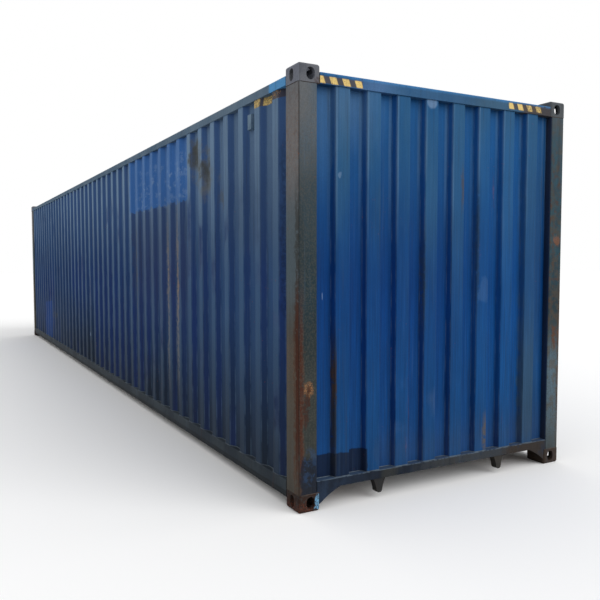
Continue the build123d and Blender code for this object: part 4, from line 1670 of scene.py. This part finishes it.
@dataclass(frozen=True)
class FrameDress:
    """Gives the frame's own nodes their finishes.

    sheet is the thickness of the roof's and the doors' pressings.
    """

    sheet: float = 0.002

    def post_sides(self) -> tuple[Patch, ...]:
        """Lists the near post's weathering on its side face and along its corner."""
        side = Facing.RIGHT
        return (
            Patch(paint(122, 122, 124), None, RIGHT, (1.95, 2.9), facing=side, fade=0.3, cover=0.9),
            Patch(
                paint(150, 114, 84), None, RIGHT, (1.95, 2.64), facing=side,
                grain=40.0, fade=0.2, broken=0.57, cover=0.6,
            ),
            Patch(RUST, None, RIGHT, (1.6, 2.85), facing=side, fade=0.3, broken=0.54, cover=0.25),
            Patch(paint(88, 102, 110), None, RIGHT, (1.2, 2.1), facing=side, fade=0.3, cover=0.85),
            Patch(paint(90, 84, 75), None, RIGHT, (0.0, 1.3), facing=side, fade=0.3, cover=0.85),
            Patch(
                paint(50, 47, 40), (6.04, 6.2), (-1.3, -1.175), (1.0, 2.05),
                fade=0.25, broken=0.4, cover=0.72,
            ),
            Patch(
                paint(136, 100, 74), None, RIGHT, (0.72, 1.15), facing=side,
                grain=40.0, fade=0.15, broken=0.57, cover=0.5,
            ),
            Patch(
                RUST, (6.02, 6.2), (-1.3, -1.178), (0.1, 1.25),
                ragged=0.02, fade=0.3, broken=0.46, cover=0.7,
            ),
            Patch(
                paint(68, 35, 22), (6.05, 6.2), (-1.3, -1.186), (0.3, 1.45),
                ragged=0.012, fade=0.25, broken=0.36,
            ),
            Patch(paint(46, 40, 38), (6.086, 6.2), (-1.3, -1.209), ragged=0.002, soft=0.004, cover=0.7),
        )

    def post_fronts(self) -> tuple[Patch, ...]:
        """Lists both front posts' weathering on their end faces."""
        front = Facing.FRONT
        return (
            Patch(paint(36, 54, 62), None, RIGHT, (1.25, 2.25), facing=front, fade=0.25, cover=0.6),
            Patch(
                paint(80, 78, 72), None, RIGHT, (0.4, 2.7), facing=front,
                ragged=0.1, grain=26.0, fade=0.3, broken=0.52, cover=0.34,
            ),
            Patch(paint(38, 60, 70), None, LEFT, (1.2, 2.9), facing=front, fade=0.5, cover=0.75),
            Patch(
                paint(84, 104, 116), None, (1.0, 1.3), (0.2, 1.0), facing=front,
                ragged=0.01, grain=36.0, fade=0.25, broken=0.42, cover=0.9,
            ),
            Patch(
                paint(80, 70, 56), None, LEFT, (0.3, 2.7), facing=front,
                ragged=0.1, grain=5.0, fade=0.2, broken=0.52, cover=0.55,
            ),
            Patch(
                paint(40, 78, 92), None, LEFT, (1.5, 2.7), facing=front,
                ragged=0.1, grain=4.0, fade=0.3, broken=0.5, cover=0.5,
            ),
            Patch(
                paint(78, 54, 40), None, LEFT, (1.2, 2.5), facing=front,
                grain=7.0, fade=0.3, broken=0.57, cover=0.7,
            ),
            Patch(
                paint(70, 50, 34), None, (1.185, 1.3), (0.2, 1.4), facing=front,
                ragged=0.012, fade=0.3, broken=0.42, cover=0.7,
            ),
            Patch(paint(14, 36, 70), None, LEFT, (0.1, 2.9), facing=Facing.RIGHT, cover=0.8),
            Patch(
                paint(146, 102, 64), None, (-1.178, -1.106), (0.76, 0.87), BLOT, front,
                ragged=0.014, grain=60.0, broken=0.48, cover=0.8,
            ),
            Patch(
                RUST_DEEP, None, (-1.158, -1.126), (0.79, 0.835), BLOT, front,
                ragged=0.014, grain=60.0, broken=0.4, cover=0.8,
            ),
            Patch(
                RUST_DEEP, None, (-1.18, -1.13), (0.56, 0.80), BLOT, front,
                ragged=0.02, broken=0.42, cover=0.8,
            ),
            Patch(paint(120, 80, 58), None, (1.11, 1.2), (1.77, 1.87), BLOT, front, broken=0.46, cover=0.7),
            Patch(RUST, None, (1.11, 1.19), (0.93, 1.14), BLOT, front, ragged=0.04, broken=0.45, cover=0.8),
            Patch(
                NAVY, None, (-1.2, -1.0), (0.0, 0.36), facing=front,
                grain=14.0, fade=0.03, broken=0.3, cover=0.85,
            ),
            Patch(
                paint(44, 74, 112), None, (-1.18, -1.08), (0.16, 0.44), BLOT, front,
                broken=0.5, cover=0.4,
            ),
        )

    def post(self) -> Finish:
        """Gives the corner posts' paint."""
        return FramePaint(
            name="post_paint",
            wear=Wear(streaks=0.4, rust=0.45, dirt_and_shade=0.2, mottle=0.6, brush=0.3, grit=0.3),
            patches=self.post_sides() + self.post_fronts(),
            sound=Tones(paint(43, 49, 47), paint(30, 43, 47), paint(78, 90, 100)),
            faded=Tones(paint(57, 58, 54), paint(46, 54, 54), paint(94, 97, 100)),
        )

    def rail(self) -> Finish:
        """Gives the top rails' paint, with the bright touch-up at the front."""
        return FramePaint(
            name="rail_paint",
            wear=Wear(streaks=0.25, rust=0.3, dirt_and_shade=0.0, mottle=0.5),
            patches=(
                Patch(paint(112, 132, 150), (4.0, 6.2), RIGHT, soft=0.8, ragged=0.2, cover=0.8),
                Patch(AZURE, (5.68, 6.0), RIGHT, (2.7, 2.9), broken=0.28),
            ),
            sound=Tones.even(paint(70, 98, 122)),
            faded=Tones.even(paint(90, 112, 132)),
        )

    def bottom_rail(self) -> Finish:
        """Gives the bottom rails' paint, darker below."""
        return FramePaint(
            name="bottom_rail_paint",
            wear=Wear(streaks=0.4, rust=0.4, dirt_and_shade=0.2, mottle=0.5),
            patches=(
                Patch(paint(24, 29, 34), None, None, (0.0, 0.104), ragged=0.004, soft=0.006, cover=0.75),
            ),
            sound=Tones.even(paint(40, 50, 60)),
            faded=Tones.even(paint(58, 68, 76)),
        )

    def header(self) -> Finish:
        """Gives the front header's paint, with a hazard band at each end."""
        face = (6.08, 6.2)
        left_band = (2.792, 2.836)
        return FramePaint(
            name="header_paint",
            wear=Wear(streaks=0.2, rust=0.25, dirt_and_shade=0.0, mottle=0.5, grit=0.24),
            patches=(
                Patch(paint(80, 112, 154), None, (-0.75, -0.5), soft=0.1, cover=0.6),
                Patch(paint(64, 92, 108), None, (0.2, 1.1), soft=0.2, ragged=0.1, cover=0.5),
                Patch(paint(66, 58, 54), None, (0.74, 1.1), soft=0.04, ragged=0.05, broken=0.3, cover=0.9),
                Patch(paint(60, 122, 178), None, None, (2.836, 2.9), ragged=0.004, broken=0.4, cover=0.6),
                Patch(RUST_DEEP, face, (-1.1, -1.03), (2.7, 2.82), ragged=0.02, broken=0.44, cover=0.8),
            ),
            bands=(
                HazardBand(Direction.ACROSS, (-1.06, -0.728), (2.784, 2.828), face, start=-1.072),
                HazardBand(Direction.ACROSS, (0.608, 0.80), left_band, face, worn=0.36, start=0.61),
                HazardBand(Direction.ACROSS, (0.805, 0.965), left_band, face, worn=0.48, start=0.61),
            ),
            sound=Tones.even(paint(30, 74, 114)),
            faded=Tones.even(paint(48, 86, 122)),
        )

    def sill(self) -> Finish:
        """Gives the front sill's paint, browner to the left, pale along its upper edge, with painted light on
        its top ledge.
        """
        return FramePaint(
            name="sill_paint",
            wear=Wear(streaks=0.2, rust=0.45, dirt_and_shade=0.1, mottle=0.6, grit=0.3),
            patches=(
                Patch(paint(58, 60, 60), None, (-0.2, 0.9), soft=0.2, ragged=0.1, broken=0.4, cover=0.7),
                Patch(paint(50, 42, 36), None, (0.62, 1.1), soft=0.1, ragged=0.1, broken=0.36, cover=0.9),
                Patch(paint(60, 60, 54), None, (-0.55, -0.41), soft=0.03, broken=0.4, cover=0.5),
                # Pale top ledge between the wall and the sill's face: painted light where the ribs shade it.
                Patch(
                    paint(62, 84, 114), (6.0, 6.088), None, (0.1965, 0.21),
                    ragged=0.001, soft=0.002, cover=0.8,
                ),
                Patch(
                    paint(98, 114, 130), (6.086, 6.2), None, (0.1945, 0.21),
                    ragged=0.001, soft=0.002, broken=0.46, cover=0.7,
                ),
            ),
            sound=Tones.even(paint(18, 27, 40)),
            faded=Tones.even(paint(34, 48, 68)),
        )

    def casting(self) -> Finish:
        """Gives the corner fittings' paint, rusted at the feet."""
        front = Facing.FRONT
        return FramePaint(
            name="casting_paint",
            wear=Wear(streaks=0.2, rust=0.5, dirt_and_shade=0.0, mottle=0.6, grit=0.3),
            patches=(
                Patch(paint(122, 126, 138), None, None, (2.7, 3.0), facing=Facing.RIGHT, cover=0.9),
                Patch(paint(72, 77, 80), None, LEFT, (2.7, 3.0), cover=0.8),
                Patch(paint(50, 48, 46), None, None, (-0.1, 0.2), ragged=0.005, cover=0.92),
                Patch(paint(48, 31, 24), None, RIGHT, (-0.1, 0.125), grain=14.0, broken=0.42, cover=0.9),
                Patch(paint(56, 44, 36), None, LEFT, (-0.1, 0.13), grain=14.0, broken=0.4, cover=0.8),
                Patch(
                    paint(104, 54, 38), (5.9, 6.2), (-1.3, -1.12), (-0.1, 0.06),
                    soft=0.02, grain=40.0, broken=0.54, cover=0.8,
                ),
                Patch(RUST_DEEP, None, (-1.1, -1.03), (2.75, 2.82), BLOT, front, broken=0.44, cover=0.5),
                Patch(
                    paint(110, 164, 200), None, (-1.105, -1.04), (0.01, 0.115), BLOT, front,
                    ragged=0.02, grain=40.0, broken=0.46, cover=0.9,
                ),
            ),
            sound=Tones.even(paint(84, 87, 94)),
            faded=Tones.even(paint(98, 100, 106)),
            cloud=8.0,
        )

    def roof_edge(self) -> Finish:
        """Gives the bright paint of the plates at the roof's ends."""
        return FramePaint(
            name="roof_edge_paint",
            wear=Wear(streaks=0.1, rust=0.2, dirt_and_shade=0.0, mottle=0.4),
            sound=Tones.even(paint(52, 110, 166)),
            faded=Tones.even(paint(74, 126, 172)),
        )

    def roof(self) -> Finish:
        """Gives the roof's faded paint, chalkier on its pressed ribs."""
        low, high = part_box("roof_panel")
        return SheetPaint(
            name="roof_paint",
            wear=Wear(streaks=0.1, rust=0.5, dirt_and_shade=0.0, mottle=0.4),
            depth_axis=Direction.UP,
            recess=low.z + self.sheet,
            crest=high.z,
            crest_tones=Tones.even(paint(92, 110, 132)),
            slope_tones=Tones.even(paint(58, 80, 110)),
            recess_tones=Tones.even(paint(74, 92, 114)),
        )

    def doors(self) -> Finish:
        """Gives the door leaves' paint."""
        low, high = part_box("door_panel_right")
        return SheetPaint(
            name="door_paint",
            wear=Wear(streaks=0.35, rust=0.3, dirt_and_shade=0.25, mottle=0.3),
            depth_axis=Direction.ALONG,
            recess=self.sheet - high.x,
            crest=-low.x,
            **FRONT_TONES_WITH_PAINTED_LIGHT,
        )

    def underside(self) -> Finish:
        """Gives the dark coat of the floor's beams and the tunnel."""
        return FramePaint(
            name="underside_coat",
            wear=Wear(streaks=0.0, rust=0.5, dirt_and_shade=0.3, mottle=0.3),
            sound=Tones.even(paint(38, 38, 40)),
            faded=Tones.even(paint(58, 54, 50)),
        )

    def finishes(self) -> dict[str, Finish]:
        """Lists a finish for each start of a node's name."""
        post, rail, low_rail, sill = self.post(), self.rail(), self.bottom_rail(), self.sill()
        doors, under = self.doors(), self.underside()
        gear = PlainFinish(
            "zinc_gear", paint(150, 152, 154), paint(112, 110, 106), roughness=0.45, metal=0.6
        )
        seal = PlainFinish("door_rubber", paint(28, 28, 30), paint(18, 18, 19), roughness=0.7)
        board = PlainFinish(
            "floor_board", paint(128, 92, 62), paint(92, 62, 42), roughness=0.7, grain=(1.2, 30.0, 12.0)
        )
        hood = PlainFinish("vent_plastic", paint(106, 132, 154), paint(78, 104, 128))
        return {
            "corner_fittings": self.casting(), "front_post": post, "rear_post": post,
            "top_side_rail": rail, "bottom_side_rail": low_rail, "front_header": self.header(),
            "front_sill": sill, "front_gussets": sill, "gooseneck_lugs": under,
            "roof_panel": self.roof(), "roof_end": self.roof_edge(), "door_frame": doors,
            "door_panel": doors, "door_header": rail, "door_sill": low_rail, "locking_bars": gear,
            "cam_keepers": gear, "bar_brackets": gear, "door_handles": gear, "door_hinges": gear,
            "door_gaskets": seal, "ventilators": hood, "cross_members": under, "outriggers": under,
            "tunnel": under, "floor_deck": board,
        }

    def dress(self, nodes: dict[str, bpy.types.Object]) -> None:
        """Puts each finish on the nodes that it is for.

        Args:
            nodes: The frame's nodes by name.
        """
        made: dict[str, bpy.types.Material] = {}
        for start, finish in self.finishes().items():
            if finish.name not in made:
                made[finish.name] = finish.build()
            members = [node for name, node in nodes.items() if name.startswith(start)]
            for node in members:
                for holder in node.material_slots:
                    holder.material = made[finish.name]
            LOG.info("%s on %d nodes of %s", finish.name, len(members), start)


@dataclass(frozen=True)
class Studio:
    """The floor, the light and the camera.

    floor_bounce is the floor's tone for the light that it sends back, sky and sun are
    strengths, and sun_width is the lamp's angle in radians.
    """

    eye: Triple = (9.7702, -3.3009, 1.6421)
    forward: Triple = (-0.88371, 0.46450, -0.05741)
    down: Triple = (0.04945, -0.02931, -0.99835)
    lens: float = 39.769
    sensor: float = 36.0
    shift: float = 0.0372
    sight: float = 500.0
    floor_half: float = 90.0
    floor_tone: Color = (0.95, 0.95, 0.95, 1.0)
    floor_bounce: Color = (0.35, 0.35, 0.35, 1.0)
    sky: float = 0.85
    sun: float = 1.7
    sun_from: Triple = (0.78, 0.42, 0.46)
    sun_width: float = 1.0

    def build(self) -> None:
        """Sets up the stage."""
        self.lay_floor()
        self.hang_lights()
        self.place_camera()

    def lay_floor(self) -> None:
        """Lays a pale floor that keeps shadows and sends little light back up."""
        half = self.floor_half
        mesh = bpy.data.meshes.new("studio_floor")
        outline = [(-half, -half, 0), (half, -half, 0), (half, half, 0), (-half, half, 0)]
        mesh.from_pydata(outline, [], [(0, 1, 2, 3)])
        graph = ShaderGraph("studio_floor")
        bounce = graph.add("ShaderNodeLightPath").outputs["Is Diffuse Ray"]
        graph.set(Base_Color=graph.blend(bounce, self.floor_tone, self.floor_bounce))
        graph.set(Roughness=1.0, Specular_IOR_Level=0.0)
        mesh.materials.append(graph.material)
        linked("studio_floor", mesh)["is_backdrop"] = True

    def hang_lights(self) -> None:
        """Lights the box from an even sky and one broad soft lamp ahead of it."""
        world = bpy.data.worlds.new("studio_sky")
        world.use_nodes = True
        graph = NodeGraph(world.node_tree)
        rays = graph.add("ShaderNodeLightPath").outputs
        labels = ("Is Camera Ray", "Is Glossy Ray", "Is Transmission Ray")
        seen = graph.chain("MAXIMUM", *[rays[label] for label in labels])
        strength = graph.plus(self.sky, graph.times(seen, 1.0 - self.sky))
        backdrop = world.node_tree.nodes["Background"]
        graph.feed(backdrop.inputs["Color"], (1.0, 1.0, 1.0, 1.0))
        graph.feed(backdrop.inputs["Strength"], strength)
        bpy.context.scene.world = world

        lamp = bpy.data.lights.new("studio_lamp", "SUN")
        lamp.energy = self.sun
        lamp.angle = self.sun_width
        turn = Vector(self.sun_from).to_track_quat("Z", "Y")
        linked("studio_lamp", lamp).rotation_euler = turn.to_euler()

    def place_camera(self) -> None:
        """Puts the camera where the photograph was taken from."""
        data = bpy.data.cameras.new("photo_camera")
        data.lens = self.lens
        data.sensor_width = self.sensor
        data.sensor_fit = "HORIZONTAL"
        data.shift_x = self.shift
        data.clip_end = self.sight
        camera = linked("photo_camera", data)
        back = -Vector(self.forward).normalized()
        right = Vector(self.down).cross(back).normalized() * -1.0
        up = back.cross(right)
        turn = Matrix((right, up, back)).transposed().to_4x4()
        camera.matrix_world = Matrix.Translation(self.eye) @ turn
        bpy.context.scene.camera = camera
        bpy.context.scene.view_settings.view_transform = "Standard"


def main() -> None:
    """Loads the frame and builds every piece of the scene in order."""
    logging.basicConfig(level=logging.INFO, format="%(name)s: %(message)s")
    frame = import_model()
    Studio().build()
    FrameDress().dress(frame["nodes"])
    sealer = PlainFinish("seam_sealer", paint(86, 98, 108), paint(58, 68, 80), roughness=0.7)
    weld = PlainFinish("painted_weld", paint(76, 62, 54), paint(46, 38, 34), roughness=0.7)
    bolt = PlainFinish("bolt_zinc", paint(132, 132, 130), paint(96, 90, 84), roughness=0.5, metal=0.6)
    sealing, weld_metal, bolt_metal = [finish.build() for finish in (sealer, weld, bolt)]
    sheet = RibbedSheet()
    bead = SeamBead()
    SideWalls().build(sheet, bead, sealing)
    FrontWall().build(sheet, bead, sealing)
    CornerCastings().build(frame["nodes"])
    FrameWelds().build(WeldBead(), weld_metal)
    DoorBolts().build(frame["nodes"], BoltRow(), bolt_metal)


if __name__ == "__main__":
    main()
